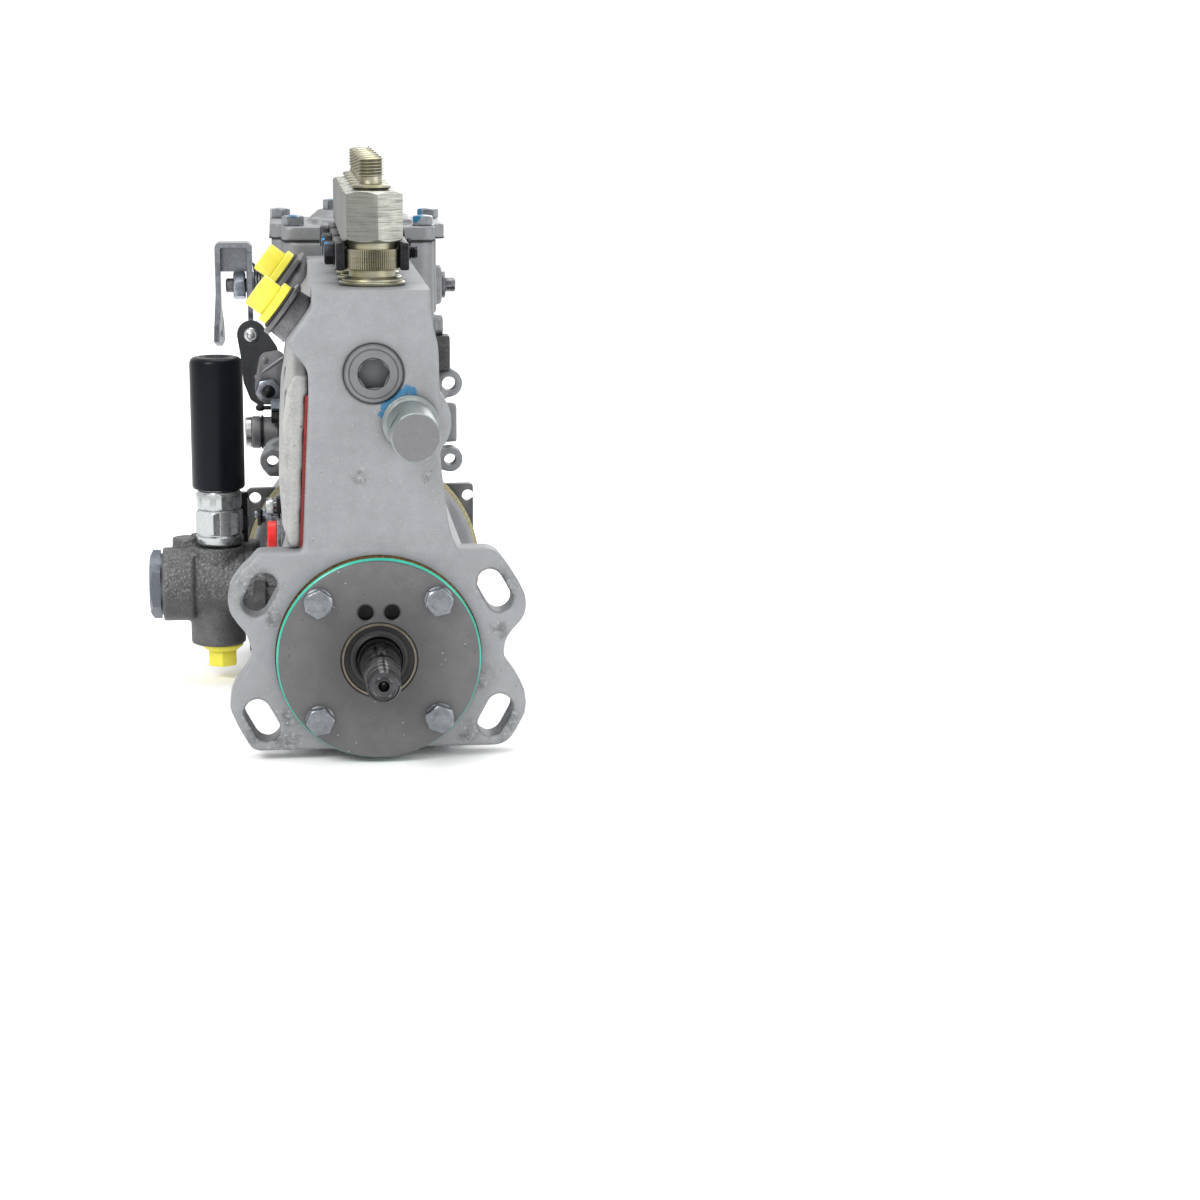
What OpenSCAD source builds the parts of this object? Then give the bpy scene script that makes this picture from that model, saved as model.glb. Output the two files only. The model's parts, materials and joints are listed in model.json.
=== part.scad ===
// Inline diesel injection pump, six cylinders, with mechanical governor and feed pump.
// X runs across the pump, Y along the camshaft from the drive end, Z up along the plungers.
// The origin is on the camshaft axis, in the plane of the mounting flange's front face.

/* [Pump body] */
// Height of the top face above the camshaft axis
body_top = 173.4; // [170:0.1:176]
// Distance from the last element to the governor joint
rear_end = 39; // [38:1:42]
// Height of the housing's underside below the camshaft axis
body_bottom = 46; // [44:1:48]
// Half width of the cam chamber, outside
cam_half = 46; // [45:1:47]

/* [Cylinders] */
// Number of pumping elements
cylinders = 6; // [2:1:6]
// Distance between neighbouring elements
pitch = 32; // [31:0.5:33]
// Distance of the first element behind the flange face
first_y = 32; // [30:1:33]

/* [Mounting flange] */
// Thickness of the mounting flange
flange_t = 16; // [14:1:18]
// Metal outside the slots in the flange's ears
ear_wall = 6.8; // [6:0.1:8]
// Radius of the circle that the slots lie on
slot_circle = 63.3; // [62:0.1:64]
// Angle of a slot above or below the horizontal
slot_angle = 28.8; // [28:0.1:30]
// Width of a slot
slot_w = 12.4; // [11:0.1:13]
// Length of a slot, end to end
slot_len = 22; // [20:0.5:23]

/* [Drive end] */
// Diameter of the pilot
pilot_d = 95; // [94:0.1:96]
// How far the pilot stands in front of the flange
pilot_h = 9; // [8:0.5:10]
// Distance of the end plate bolts from the pilot's edge
bolt_edge = 7.5; // [7:0.5:8]
// How far the sealing ring stands out of the pilot
ring_stand = 1; // [0.8:0.1:1.4]
// How far the camshaft's tip stands in front of the flange
shaft_tip = 62; // [60:1:64]
// Major diameter of the camshaft nut thread
shaft_thread = 14; // [12:1:14]
// Major diameter of the delivery threads
delivery_thread = 12; // [11:1:12]

/* [Control] */
// Pitch radius of the sleeves' teeth
tooth_r = 13; // [12.8:0.1:13.2]
// Depth of the rack below the top face
rack_drop = 61.8; // [61:0.1:62]
// How far the rack cap stands in front of the flange
rack_cap_len = 51; // [49:1:54]

/* [Feed pump] */
// Distance of the feed pump from the governor joint
feed_back = 55; // [54:1:56]
// Height of the feed pump's piston axis
feed_z = 2; // [1:1:3]
// Distance of the primer axis from the camshaft axis
primer_x = 78.2; // [78:0.1:79]
// Diameter of the primer knob
knob_d = 28; // [26:0.5:29]

/* [Governor] */
// Length of the governor housing behind its joint
gov_len = 108; // [106:1:112]
// Radius of the governor's round flange
gov_r = 65; // [64:0.5:66]
// Height of the governor housing's upper joint face
gov_top = 180.5; // [180:0.5:182]
// Depth of the control lever's shaft below that face
lever_drop = 28.5; // [28:0.5:30]
// Distance of the control lever's shaft behind the governor joint
lever_back = 67; // [66:1:70]

/* [Hidden] */
$fn = 64;

body_len = first_y + (cylinders - 1) * pitch + rear_end;
body_back = body_len - 0.8;
gov_y = body_len;
gov_back = gov_y + gov_len;
feed_y = body_len - feed_back;
pilot_r = pilot_d / 2;
bolt_r = pilot_r - bolt_edge;
bolt_xz = bolt_r * sqrt(0.5);
// Seat of the end plate's gasket, and the ring of metal round it
seat_r = pilot_r + 1.5;
boss_r = seat_r + 1.2;
// Bore for the end plate's bearing boss, clear of the bolts
neck_r = bolt_r - 5;
base_z = -boss_r;
ring_wire = 1.5;
ring_y = 5;
ring_r = pilot_r + ring_stand - ring_wire;
taper_y = -shaft_tip + 18;
key_y = -shaft_tip + 26;
ear_x = slot_circle * cos(slot_angle) + (slot_len - slot_w) / 2 * sin(slot_angle) + slot_w / 2 + ear_wall;
// The cast tower front lies this much behind the machined flange face
tower_y = 0.5;
ys = [for (i = [0 : cylinders - 1]) first_y + i * pitch];
// Injection order 1-5-3-6-2-4 as each lobe's angle
lobe_angle = [0, 240, 120, 300, 60, 180];
gallery_x = -0.9;
gallery_z = body_top - 38.8;
gallery_r = 14;
rack_x = tooth_r + 3;
rack_z = body_top - rack_drop;
chamber_r = 28;
lift_r = 21;
roller_r = 8.5;
roller_z = lift_r + 0.3 + roller_r;
window_z0 = 60;
window_z1 = rack_z + 5.9;
// Top of the lower spring seats, and underside of the upper ones
seat_z = 67;
upper_seat_z = rack_z - 17.6;
sleeve_low = seat_z + 9;
sleeve_disc_z = rack_z - 14.6;
vane_z = (sleeve_low + sleeve_disc_z) / 2 - 2.5;
shoulder_z = body_top - 22.4;
valve_z = body_top - 17.4;
band_z = body_top + 7.9;
band_r = 12.9;
hex_z = body_top + 20.4;
thread_z = hex_z + 28.6;
holder_af = pitch - 5;
clamp_x = band_r + 4.3;
clamp_z = band_z + 6.1;
cover_front = 8;
cover_back = body_len - 9;
cover_screw_in = 8;
cover_z0 = 51.2;
cover_z1 = window_z1 + 6.5;
wall_top = [-31.2, cover_z1];
wall_bottom = [-35, cover_z0];
gasket_t = 1.5;
teeth = 26;
tooth_pitch = 2 * PI * tooth_r / teeth;
nose_low = [-41.3, body_top - 24.4];
nose_high = [-29.2, body_top - 8.2];
union_tilt = atan2(nose_high[0] - nose_low[0], nose_high[1] - nose_low[1]);
union_face = (nose_low + nose_high) / 2;
// Depth of the turned seats below the cast face
spot_depth = 0.5;
union_near_y = 28;
union_far_y = body_len - 25;
oil_y = 100;
oil_z = 41;
lever_y = gov_y + lever_back;
lever_z = gov_top - lever_drop;
stop_x = -51.4;
stop_z = 93.2;
stop_y = gov_y + 55;
capsule_y = gov_y + 42;
capsule_z = 70.4;
cover_bolt_spots = [[-36, gov_y + 17], [36, gov_y + 17], [-43, gov_back - 14], [43, gov_back - 14]];
lever_top = lever_z + 24;
rod_hole_z = lever_z - 27;

// Outline in X and Z, pushed along Y
module along_y(y0, y1) {
    translate([0, y1, 0])
        rotate([90, 0, 0])
            linear_extrude(height = y1 - y0)
                children();
}

// Outline in Y and Z, pushed along X
module along_x(x0, x1) {
    translate([x0, 0, 0])
        rotate([90, 0, 90])
            linear_extrude(height = x1 - x0)
                children();
}

module rod_y(r, x, z, y0, y1) {
    along_y(y0, y1)
        translate([x, z])
            circle(r);
}

module rod_x(r, y, z, x0, x1) {
    along_x(x0, x1)
        translate([y, z])
            circle(r);
}

module rod_z(r, x, y, z0, z1) {
    translate([x, y, z0])
        cylinder(r = r, h = z1 - z0);
}

module tube_y(ro, ri, x, z, y0, y1) {
    along_y(y0, y1)
        translate([x, z])
            difference() {
                circle(ro);
                circle(ri);
            }
}

// Rectangle with round corners, centred
module round_rect(w, h, r) {
    square([w - 2 * r, h], center = true);
    square([w, h - 2 * r], center = true);
    for (sx = [-1, 1])
        for (sy = [-1, 1])
            translate([sx * (w / 2 - r), sy * (h / 2 - r)])
                circle(r);
}

// Slot with round ends, along X
module slot_shape(length, width) {
    square([length - width, width], center = true);
    for (s = [-1, 1])
        translate([s * (length - width) / 2, 0])
            circle(width / 2);
}

// Saw profile of a thread for rotate_extrude, from z0 to z1
function thread_points(r, depth, p, z0, n) = concat(
    [[0, z0]],
    [for (i = [0 : n - 1]) each [
        [r - depth, z0 + i * p],
        [r, z0 + i * p + p * 0.35],
        [r, z0 + i * p + p * 0.6],
        [r - depth, z0 + i * p + p * 0.95]]],
    [[r - depth, z0 + n * p], [0, z0 + n * p]]);

module threaded_rod(r, depth, p, n) {
    rotate_extrude()
        polygon(thread_points(r, depth, p, 0, n));
}

// Hex bolt along +Z: head on top of the origin plane, shank below it
module hex_bolt(af, head_h, r, shank) {
    cylinder(r = af / sqrt(3), h = head_h, $fn = 6);
    cylinder(r = af * 0.56, h = 0.8);
    translate([0, 0, -shank])
        cylinder(r = r, h = shank + 0.1);
}

// Spring as rings on a thin web, standing on z0
module coil(r, wire, z0, z1, turns) {
    step = (z1 - z0 - 2 * wire) / (turns - 1);
    rotate_extrude()
        union() {
            translate([r - 0.3, z0 + wire])
                square([0.6, z1 - z0 - 2 * wire]);
            for (i = [0 : turns - 1])
                translate([r, z0 + wire + i * step])
                    circle(wire, $fn = 16);
        }
}

// Front outline of the flange
module flange_outline() {
    union() {
        circle(boss_r);
        for (m = [0, 1])
            mirror([m, 0])
                polygon([[0, 51], [ear_x - 13.2, 51], [ear_x - 6, 46], [ear_x, 28], [ear_x - 0.8, 19.3],
                    [ear_x - 8.5, 10], [ear_x - 10.4, 4], [ear_x - 9.6, 0], [ear_x - 1.1, -14], [ear_x, -25],
                    [ear_x - 3.6, -41.3], [ear_x - 11, -45.6], [0, -45.6]]);
    }
}

module slots_outline() {
    for (sx = [-1, 1])
        for (sz = [-1, 1])
            rotate(sx > 0 ? sz * slot_angle : 180 - sz * slot_angle)
                translate([slot_circle, 0])
                    rotate(90)
                        slot_shape(slot_len, slot_w);
}

// Upper body section with the slanted fuel face on the left
module tower_outline() {
    polygon([[-28.9, body_top], [25.8, body_top], [26.2, body_top - 13.4], [29.5, body_top - 25.8],
        [30, body_top - 49.4], [30, 95], [32, 77], [35, 61], [42, 50], [42, 40], [-36, 40], wall_bottom, wall_top,
        [wall_top[0], cover_z1 + 12.4], nose_low, nose_high]);
}

module cam_outline() {
    polygon([[-42, 48], [42, 48], [cam_half, 34], [cam_half, -32], [38, -body_bottom], [-38, -body_bottom],
        [-cam_half, -32], [-cam_half, 34]]);
}

// Side window in the spring chamber
module window_cut() {
    translate([-50, first_y - 14, window_z0])
        cube([50 + 22.5, (cylinders - 1) * pitch + 28, window_z1 - window_z0]);
}

module cover_screw_places() {
    for (y = [cover_front + cover_screw_in, (cover_front + cover_back) / 2, cover_back - cover_screw_in])
        for (z = [cover_z0 + 5.3, cover_z1 - 3])
            translate([0, y, z])
                children();
}

module pump_housing() {
    color([0.67, 0.68, 0.69])
    difference() {
        union() {
            along_y(0, flange_t)
                flange_outline();
            along_y(tower_y, body_back)
                tower_outline();
            along_y(flange_t - 1, body_back)
                cam_outline();
            rod_y(16.6, rack_x, rack_z, tower_y, 24);
            along_y(body_back - 11, body_back)
                flat_disc(62, base_z);
            rod_x(26, feed_y, feed_z, -cam_half, -30);
        }
        along_y(-1, flange_t + 1)
            slots_outline();
        // end plate seat
        rod_y(seat_r, 0, 0, -1, 1.6);
        rod_y(neck_r, 0, 0, 0, 15);
        for (sx = [-1, 1])
            for (sz = [-1, 1])
                rod_y(4.05, sx * bolt_xz, sz * bolt_xz, 1, 20);
        // cam chamber, rear bearing seat and tappet bores
        rod_y(chamber_r, 0, 0, 14, body_back - 17);
        rod_y(23, 0, 0, body_back - 18, body_back - 3);
        rod_y(18, 0, 0, body_back - 4, body_back + 1);
        for (y = ys) {
            rod_z(13.5, 0, y, 20, window_z0 + 1);
            rod_z(10, 0, y, window_z1 - 1, shoulder_z);
            rod_z(12, 0, y, shoulder_z - 1, body_top + 1);
        }
        window_cut();
        // fuel gallery and its front plug seat
        rod_y(gallery_r - 2.5, gallery_x, gallery_z, 12, body_back - 15);
        rod_y(gallery_r, gallery_x, gallery_z, -1, 12.5);
        for (f = [[union_near_y, 0], [union_far_y, 4]])
            on_fuel_face(f[0], f[1])
                union() {
                    translate([0, 0, -26])
                        cylinder(r = 5.05, h = 30);
                    cylinder(r = 13.2, h = 20);
                }
        // rack bore
        rod_y(5.05, rack_x, rack_z, 6, body_back + 1);
        rod_y(9, rack_x, rack_z, -1, 7);
        // feed pump opening and drain port
        rod_x(12, feed_y, feed_z, -cam_half - 1, -20);
        rod_x(5.05, oil_y, oil_z, -60, -24);
        rod_x(12.4, oil_y, oil_z, -60, -42.6);
        cover_screw_places()
            rotate([0, 90, 0])
                translate([0, 0, -40])
                    cylinder(r = 2.55, h = 24);
        for (s = [-1, 1])
            rod_x(4.05, feed_y + s * 33, feed_z, -cam_half - 1, -34);
    }
}

module bearing_end_plate() {
    color([0.5, 0.5, 0.51])
    difference() {
        union() {
            rod_y(pilot_r, 0, 0, -pilot_h, 0.8);
            rod_y(neck_r - 0.1, 0, 0, 0, 14);
        }
        tube_y(pilot_r + 10, ring_r - ring_wire - 0.05, 0, 0, -ring_y - 1.6, -ring_y + 1.6);
        rod_y(18, 0, 0, -pilot_h - 1, -0.5);
        rod_y(23.5, 0, 0, -1, 15);
        for (s = [-1, 1])
            rod_y(3.7, s * 6.2, 22.8, -pilot_h - 1, -1.6);
        for (sx = [-1, 1])
            for (sz = [-1, 1])
                rod_y(4.4, sx * bolt_xz, sz * bolt_xz, -pilot_h - 1, 2);
    }
}

module end_plate_bolts() {
    color([0.62, 0.63, 0.64])
    for (sx = [-1, 1])
        for (sz = [-1, 1])
            translate([sx * bolt_xz, -pilot_h, sz * bolt_xz])
                rotate([90, sx * sz * 12, 0])
                    hex_bolt(12, 5.6, 4, 26);
}

module end_plate_gasket() {
    color([0.62, 0.5, 0.28])
    difference() {
        rod_y(seat_r - 0.1, 0, 0, 0.8, 1.6);
        rod_y(neck_r, 0, 0, 0, 3);
        for (sx = [-1, 1])
            for (sz = [-1, 1])
                rod_y(4.4, sx * bolt_xz, sz * bolt_xz, 0, 3);
    }
}

module pilot_o_ring() {
    color([0.12, 0.72, 0.58])
    rotate([90, 0, 0])
        translate([0, 0, ring_y])
            rotate_extrude()
                translate([ring_r, 0])
                    circle(ring_wire, $fn = 24);
}

module shaft_seal() {
    color([0.5, 0.46, 0.38])
    union() {
        tube_y(18, 15.6, 0, 0, -pilot_h, -0.5);
        tube_y(15.8, 10.45, 0, 0, -pilot_h + 1.2, -1.5);
    }
}

module front_bearing() {
    color([0.7, 0.7, 0.72])
    union() {
        tube_y(23.5, 20, 0, 0, 0, 13.5);
        tube_y(20.5, 15.5, 0, 0, 3, 10.5);
        tube_y(16, 12.04, 0, 0, 0, 13.5);
    }
}

module rear_bearing() {
    color([0.7, 0.7, 0.72])
    union() {
        tube_y(23, 19, 0, 0, body_back - 17, body_back - 3.5);
        tube_y(19.5, 14.5, 0, 0, body_back - 14, body_back - 6);
        tube_y(15, 10.04, 0, 0, body_back - 17, body_back - 3.5);
    }
}

module lobe(y, angle) {
    along_y(y - 7, y + 7)
        rotate(angle + 90)
            union() {
                circle(12);
                translate([14.5, 0])
                    circle(6.5);
                polygon([[0, -11.6], [14.5, -6.3], [14.5, 6.3], [0, 11.6]]);
            }
}

module camshaft() {
    color([0.42, 0.41, 0.4])
    difference() {
        union() {
            translate([0, -shaft_tip, 0])
                rotate([-90, 0, 0])
                    threaded_rod(shaft_thread / 2, 0.9, 1.5, 12);
            rotate([-90, 0, 0])
                rotate_extrude()
                    polygon([[0, taper_y - 0.1], [5.9, taper_y - 0.1], [5.9, taper_y + 3], [7.8, taper_y + 4],
                        [10, -13], [10.38, -12], [10.38, -0.5], [12, -0.5], [12, 14.5], [13.5, 14.5], [13.5, 19],
                        [11, 20], [11, body_back - 18.2], [10, body_back - 17.3], [10, body_back - 2.2],
                        [8, body_back - 1.7], [8, gov_y + 37], [0, gov_y + 37]]);
            for (i = [0 : cylinders - 1])
                lobe(ys[i], lobe_angle[i]);
            along_y(feed_y - 5, feed_y + 5)
                translate([3.5, 0])
                    circle(13.5);
        }
        rod_y(2.2, 0, 0, -shaft_tip - 1, -shaft_tip + 6);
        translate([-2, key_y, 6.5])
            cube([4, 15, 10]);
    }
}

module woodruff_key() {
    color([0.45, 0.44, 0.43])
    translate([-2, key_y, 6.5])
        cube([4, 15, 4.6]);
}

module tappets() {
    color([0.5, 0.5, 0.5])
    for (y = ys)
        difference() {
            union() {
                rod_z(13.4, 0, y, 25, seat_z - 7);
                rod_z(5, 0, y, seat_z - 7, seat_z - 2);
            }
            translate([-9.2, y - 6.4, 20])
                cube([18.4, 12.8, 19.5]);
            rod_y(3, 0, roller_z, y - 20, y + 20);
        }
}

module tappet_rollers() {
    color([0.65, 0.65, 0.66])
    for (y = ys)
        union() {
            rod_y(roller_r, 0, roller_z, y - 6, y + 6);
            rod_y(3, 0, roller_z, y - 12.5, y + 12.5);
        }
}

module spring_seats() {
    color([0.55, 0.55, 0.56])
    for (y = ys) {
        rod_z(12.6, 0, y, seat_z - 2, seat_z);
        difference() {
            rod_z(12.6, 0, y, upper_seat_z, upper_seat_z + 2);
            rod_z(8.8, 0, y, upper_seat_z - 1, upper_seat_z + 3);
        }
    }
}

module plunger_springs() {
    color([0.35, 0.35, 0.36])
    for (y = ys)
        translate([0, y, 0])
            coil(10.6, 1.3, seat_z, upper_seat_z, 6);
}

module plungers() {
    color([0.75, 0.75, 0.76])
    for (y = ys)
        union() {
            rod_z(5.6, 0, y, seat_z, seat_z + 2);
            rod_z(4.75, 0, y, seat_z + 1, shoulder_z - 1);
            translate([-6.2, y - 1.3, vane_z])
                cube([12.4, 2.6, 4]);
        }
}

module barrels() {
    color([0.6, 0.6, 0.62])
    for (y = ys)
        difference() {
            union() {
                rod_z(9.9, 0, y, rack_z - 12, shoulder_z);
                rod_z(11.9, 0, y, shoulder_z, valve_z);
            }
            rod_z(4.81, 0, y, rack_z - 20, valve_z + 4);
            translate([0, y, gallery_z])
                rotate([0, 90, 0])
                    cylinder(r = 1.5, h = 40, center = true);
        }
}

module control_sleeve(i) {
    tooth_a = 360 / teeth;
    color([0.55, 0.5, 0.38])
    translate([0, ys[i], 0])
        difference() {
            union() {
                rod_z(tooth_r - 1.1, 0, 0, sleeve_disc_z, rack_z + 5.2);
                rod_z(8.3, 0, 0, sleeve_low, sleeve_disc_z + 0.5);
                translate([0, 0, rack_z - 4.6])
                    linear_extrude(height = 9.5)
                        for (k = [-5 : 5])
                            rotate((k + 0.5) * tooth_a)
                                polygon([[tooth_r - 1.5, -0.85], [tooth_r + 0.85, -0.35],
                                    [tooth_r + 0.85, 0.35], [tooth_r - 1.5, 0.85]]);
            }
            rod_z(9.98, 0, 0, rack_z - 12.4, rack_z + 9);
            rod_z(6.6, 0, 0, sleeve_low - 6, rack_z - 12);
            translate([-10, -1.6, sleeve_low - 6])
                cube([20, 3.2, sleeve_disc_z - sleeve_low + 6]);
        }
}

module control_sleeve_1() { control_sleeve(0); }
module control_sleeve_2() { control_sleeve(1); }
module control_sleeve_3() { control_sleeve(2); }
module control_sleeve_4() { control_sleeve(3); }
module control_sleeve_5() { control_sleeve(4); }
module control_sleeve_6() { control_sleeve(5); }

module control_rack() {
    color([0.58, 0.58, 0.6])
    difference() {
        rod_y(5, rack_x, rack_z, -30, gov_y + 9);
        translate([rack_x - 6, first_y - 26, rack_z - 6])
            cube([4.05, (cylinders - 1) * pitch + 52, 12]);
    }
    color([0.58, 0.58, 0.6])
    translate([0, 0, rack_z - 3])
        linear_extrude(height = 6)
            for (y = ys)
                for (k = [-4 : 4])
                    translate([rack_x - 3, y + k * tooth_pitch])
                        polygon([[-0.9, -0.35], [-0.9, 0.35], [1.1, 0.85], [1.1, -0.85]]);
}

module rack_cap() {
    color([0.6, 0.62, 0.62])
    difference() {
        union() {
            rod_y(12.9, rack_x, rack_z, -4.5, tower_y);
            rod_y(12.3, rack_x, rack_z, -6, -4.5);
            rod_y(11.2, rack_x, rack_z, -rack_cap_len, -6);
            rod_y(9, rack_x, rack_z, -1, 6);
        }
        rod_y(6.5, rack_x, rack_z, -rack_cap_len + 5, 8);
        for (s = [-1, 1])
            translate([rack_x, 0, rack_z])
                rotate([0, 32, 0])
                    translate([s * 20.6 - 10.3, -rack_cap_len - 1, -15])
                        cube([20.6, 18, 30]);
    }
}

module gallery_plug() {
    color([0.55, 0.56, 0.57])
    difference() {
        rod_y(gallery_r, gallery_x, gallery_z, tower_y - 1.1, 12);
        translate([gallery_x, 8, gallery_z])
            rotate([90, 11, 0])
                cylinder(r = 12.4 / sqrt(3), h = 12, $fn = 6);
    }
}

module delivery_valves() {
    color([0.7, 0.68, 0.6])
    for (y = ys)
        difference() {
            union() {
                rod_z(11.6, 0, y, valve_z, valve_z + 2.5);
                rod_z(6.6, 0, y, valve_z + 2, valve_z + 11);
                rod_z(3.4, 0, y, valve_z + 11, valve_z + 15);
            }
            rod_z(3, 0, y, valve_z - 1, valve_z + 6);
        }
}

module delivery_valve_springs() {
    color([0.5, 0.5, 0.52])
    for (y = ys)
        translate([0, y, 0])
            coil(5, 0.7, valve_z + 11, valve_z + 29, 5);
}

// Outline of the serrated band
module serration(r, depth, n) {
    polygon([for (i = [0 : n - 1]) each [
        [r * cos(360 / n * i), r * sin(360 / n * i)],
        [(r - depth) * cos(360 / n * (i + 0.5)), (r - depth) * sin(360 / n * (i + 0.5))]]]);
}

module delivery_valve_holder() {
    tr = delivery_thread / 2;
    difference() {
        union() {
            rod_z(11.95, 0, 0, valve_z + 2.5, body_top);
            rod_z(pitch / 2 - 0.4, 0, 0, body_top, body_top + 2.2);
            rod_z(14.2, 0, 0, body_top + 2.2, body_top + 3.2);
            rod_z(10.8, 0, 0, body_top + 3, band_z + 0.7);
            translate([0, 0, band_z])
                linear_extrude(height = 9.2)
                    serration(band_r, 0.55, 40);
            rod_z(12, 0, 0, band_z + 9.1, hex_z + 0.2);
            translate([0, 0, hex_z])
                rotate(-90 + 13)
                    intersection() {
                        cylinder(r = holder_af / sqrt(3), h = 24, $fn = 6);
                        rotate_extrude()
                            polygon([[0, 0], [holder_af / 2 + 0.2, 0], [holder_af / 2 + 2.4, 1.4],
                                [holder_af / 2 + 2.4, 22.4], [holder_af / 2 - 0.1, 24], [0, 24]]);
                    }
            rod_z(8.8, 0, 0, hex_z + 23.9, hex_z + 25.1);
            rod_z(9.3, 0, 0, hex_z + 25.1, hex_z + 26.5);
            rod_z(5.5, 0, 0, hex_z + 26.2, thread_z + 0.1);
            translate([0, 0, thread_z])
                threaded_rod(tr, 0.75, 1.5, 7);
        }
        rod_z(6.8, 0, 0, valve_z + 2, valve_z + 30);
        rod_z(1.3, 0, 0, valve_z + 24, thread_z + 18);
        translate([0, 0, thread_z + 7.2])
            cylinder(r1 = 1.2, r2 = 3.9, h = 3.4);
    }
}

module delivery_valve_holders() {
    color([0.72, 0.71, 0.6])
    for (y = ys)
        translate([0, y, 0])
            delivery_valve_holder();
}

module clamp_plates() {
    color([0.12, 0.12, 0.13])
    for (k = [0 : cylinders / 2 - 1])
        translate([0, first_y + (2 * k + 0.5) * pitch, clamp_z])
            for (s = [-1, 1])
                difference() {
                    translate([s > 0 ? band_r + 0.05 : -clamp_x, -pitch / 2 - 11, -6.5])
                        cube([4.25, pitch + 22, 12.8]);
                    rotate([0, 90, 0])
                        cylinder(r = s > 0 ? 3 : 3.2, h = 60, center = true);
                }
}

module clamp_bolts() {
    color([0.16, 0.16, 0.18])
    for (k = [0 : cylinders / 2 - 1])
        translate([-clamp_x, first_y + (2 * k + 0.5) * pitch, clamp_z])
            rotate([0, -90, 0])
                union() {
                    rotate(17)
                        cylinder(r = 10 / sqrt(3), h = 5, $fn = 6);
                    translate([0, 0, -2 * clamp_x - 0.1])
                        cylinder(r = 3, h = 2 * clamp_x + 0.2);
                    translate([0, 0, -2 * clamp_x - 5])
                        threaded_rod(3, 0.5, 1, 5);
                }
}

module cover_outline() {
    polygon([[wall_top[0] - gasket_t, cover_z1], [-31.4, cover_z1 + 0.2], [-31.4, cover_z1 + 9.4],
        [-37.7, cover_z1 + 9.4], [-41, cover_z1 + 3], [-44.2, cover_z1 - 16], [-45.6, 84], [-44.2, 62],
        [-40.8, cover_z0], [wall_bottom[0] - gasket_t, cover_z0]]);
}

module side_cover() {
    color([0.68, 0.68, 0.67])
    difference() {
        along_y(cover_front, cover_back)
            cover_outline();
        translate([-39.5, first_y - 12, window_z0 + 4])
            cube([20, (cylinders - 1) * pitch + 24, window_z1 - window_z0 - 7.5]);
        cover_screw_places()
            rotate([0, -90, 0])
                translate([0, 0, 38.6])
                    cylinder(r = 5.8, h = 20);
        cover_screw_places()
            rotate([0, -90, 0])
                translate([0, 0, 30])
                    cylinder(r = 2.7, h = 20);
    }
}

module side_cover_gasket() {
    color([0.62, 0.17, 0.16])
    difference() {
        along_y(cover_front, cover_back)
            polygon([wall_top, wall_bottom, [wall_bottom[0] - gasket_t, wall_bottom[1]],
                [wall_top[0] - gasket_t, wall_top[1]]]);
        translate([-60, first_y - 14, window_z0])
            cube([60, (cylinders - 1) * pitch + 28, window_z1 - window_z0]);
        cover_screw_places()
            rotate([0, -90, 0])
                translate([0, 0, 20])
                    cylinder(r = 2.7, h = 30);
    }
}

module side_cover_screws() {
    color([0.45, 0.46, 0.48])
    cover_screw_places()
        rotate([0, -90, 0])
            difference() {
                union() {
                    translate([0, 0, 38.6])
                        cylinder(r = 5, h = 3.6);
                    translate([0, 0, 20])
                        cylinder(r = 2.5, h = 19);
                }
                translate([-6, -0.7, 41])
                    cube([12, 1.4, 3]);
            }
}

// Places its children on the slanted fuel face, +Z outward
module on_fuel_face(y, shift) {
    translate([union_face[0], y, union_face[1]])
        rotate([0, -90 + union_tilt, 0])
            translate([shift, 0, -spot_depth])
                children();
}

module fuel_unions() {
    color([0.5, 0.5, 0.52])
    on_fuel_face(union_near_y, 0)
        difference() {
            union() {
                cylinder(r = 12.6, h = 8);
                translate([0, 0, 7.9])
                    cylinder(r = 13.8, h = 2.7);
                translate([0, 0, -14])
                    cylinder(r = 5, h = 15);
            }
            translate([0, 0, -15])
                cylinder(r = 3.5, h = 20);
            translate([0, 0, 4])
                cylinder(r = 7, h = 8);
        }
    color([0.28, 0.28, 0.3])
    on_fuel_face(union_far_y, 4)
        difference() {
            union() {
                cylinder(r = 10.6, h = 8);
                translate([0, 0, 7.9])
                    cylinder(r = 14.6, h = 2.7, $fn = 6);
                translate([0, 0, -14])
                    cylinder(r = 5, h = 15);
            }
            translate([0, 0, -15])
                cylinder(r = 3.5, h = 20);
            translate([0, 0, 4])
                cylinder(r = 7, h = 8);
        }
}

module union_seals() {
    color([0.05, 0.05, 0.05])
    for (f = [[union_near_y, 0], [union_far_y, 4]])
        on_fuel_face(f[0], f[1])
            difference() {
                translate([0, 0, 10.6])
                    cylinder(r = 11.2, h = 1.2);
                cylinder(r = 7, h = 20);
            }
}

module plastic_cap(flange_r, flange_h, body_r, body_h, plug_r, plug_h) {
    cylinder(r = flange_r, h = flange_h);
    translate([0, 0, flange_h - 0.1])
        rotate(15)
            cylinder(r = body_r, h = body_h + 0.1, $fn = 8);
    translate([0, 0, -plug_h])
        cylinder(r = plug_r, h = plug_h + 0.1);
}

module union_caps() {
    color([0.93, 0.89, 0.24])
    for (f = [[union_near_y, 0], [union_far_y, 4]])
        on_fuel_face(f[0], f[1])
            translate([0, 0, 11.8])
                plastic_cap(10.6, 4, 8.6, 9.4, 6.8, 6);
}

module oil_port() {
    color([0.42, 0.42, 0.43])
    difference() {
        union() {
            rod_x(5, oil_y, oil_z, -43, -30);
            rod_x(11.5, oil_y, oil_z, -45.4, -42.6);
            rod_x(9, oil_y, oil_z, -47.4, -45.3);
        }
        rod_x(3, oil_y, oil_z, -50, -29);
    }
}

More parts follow.
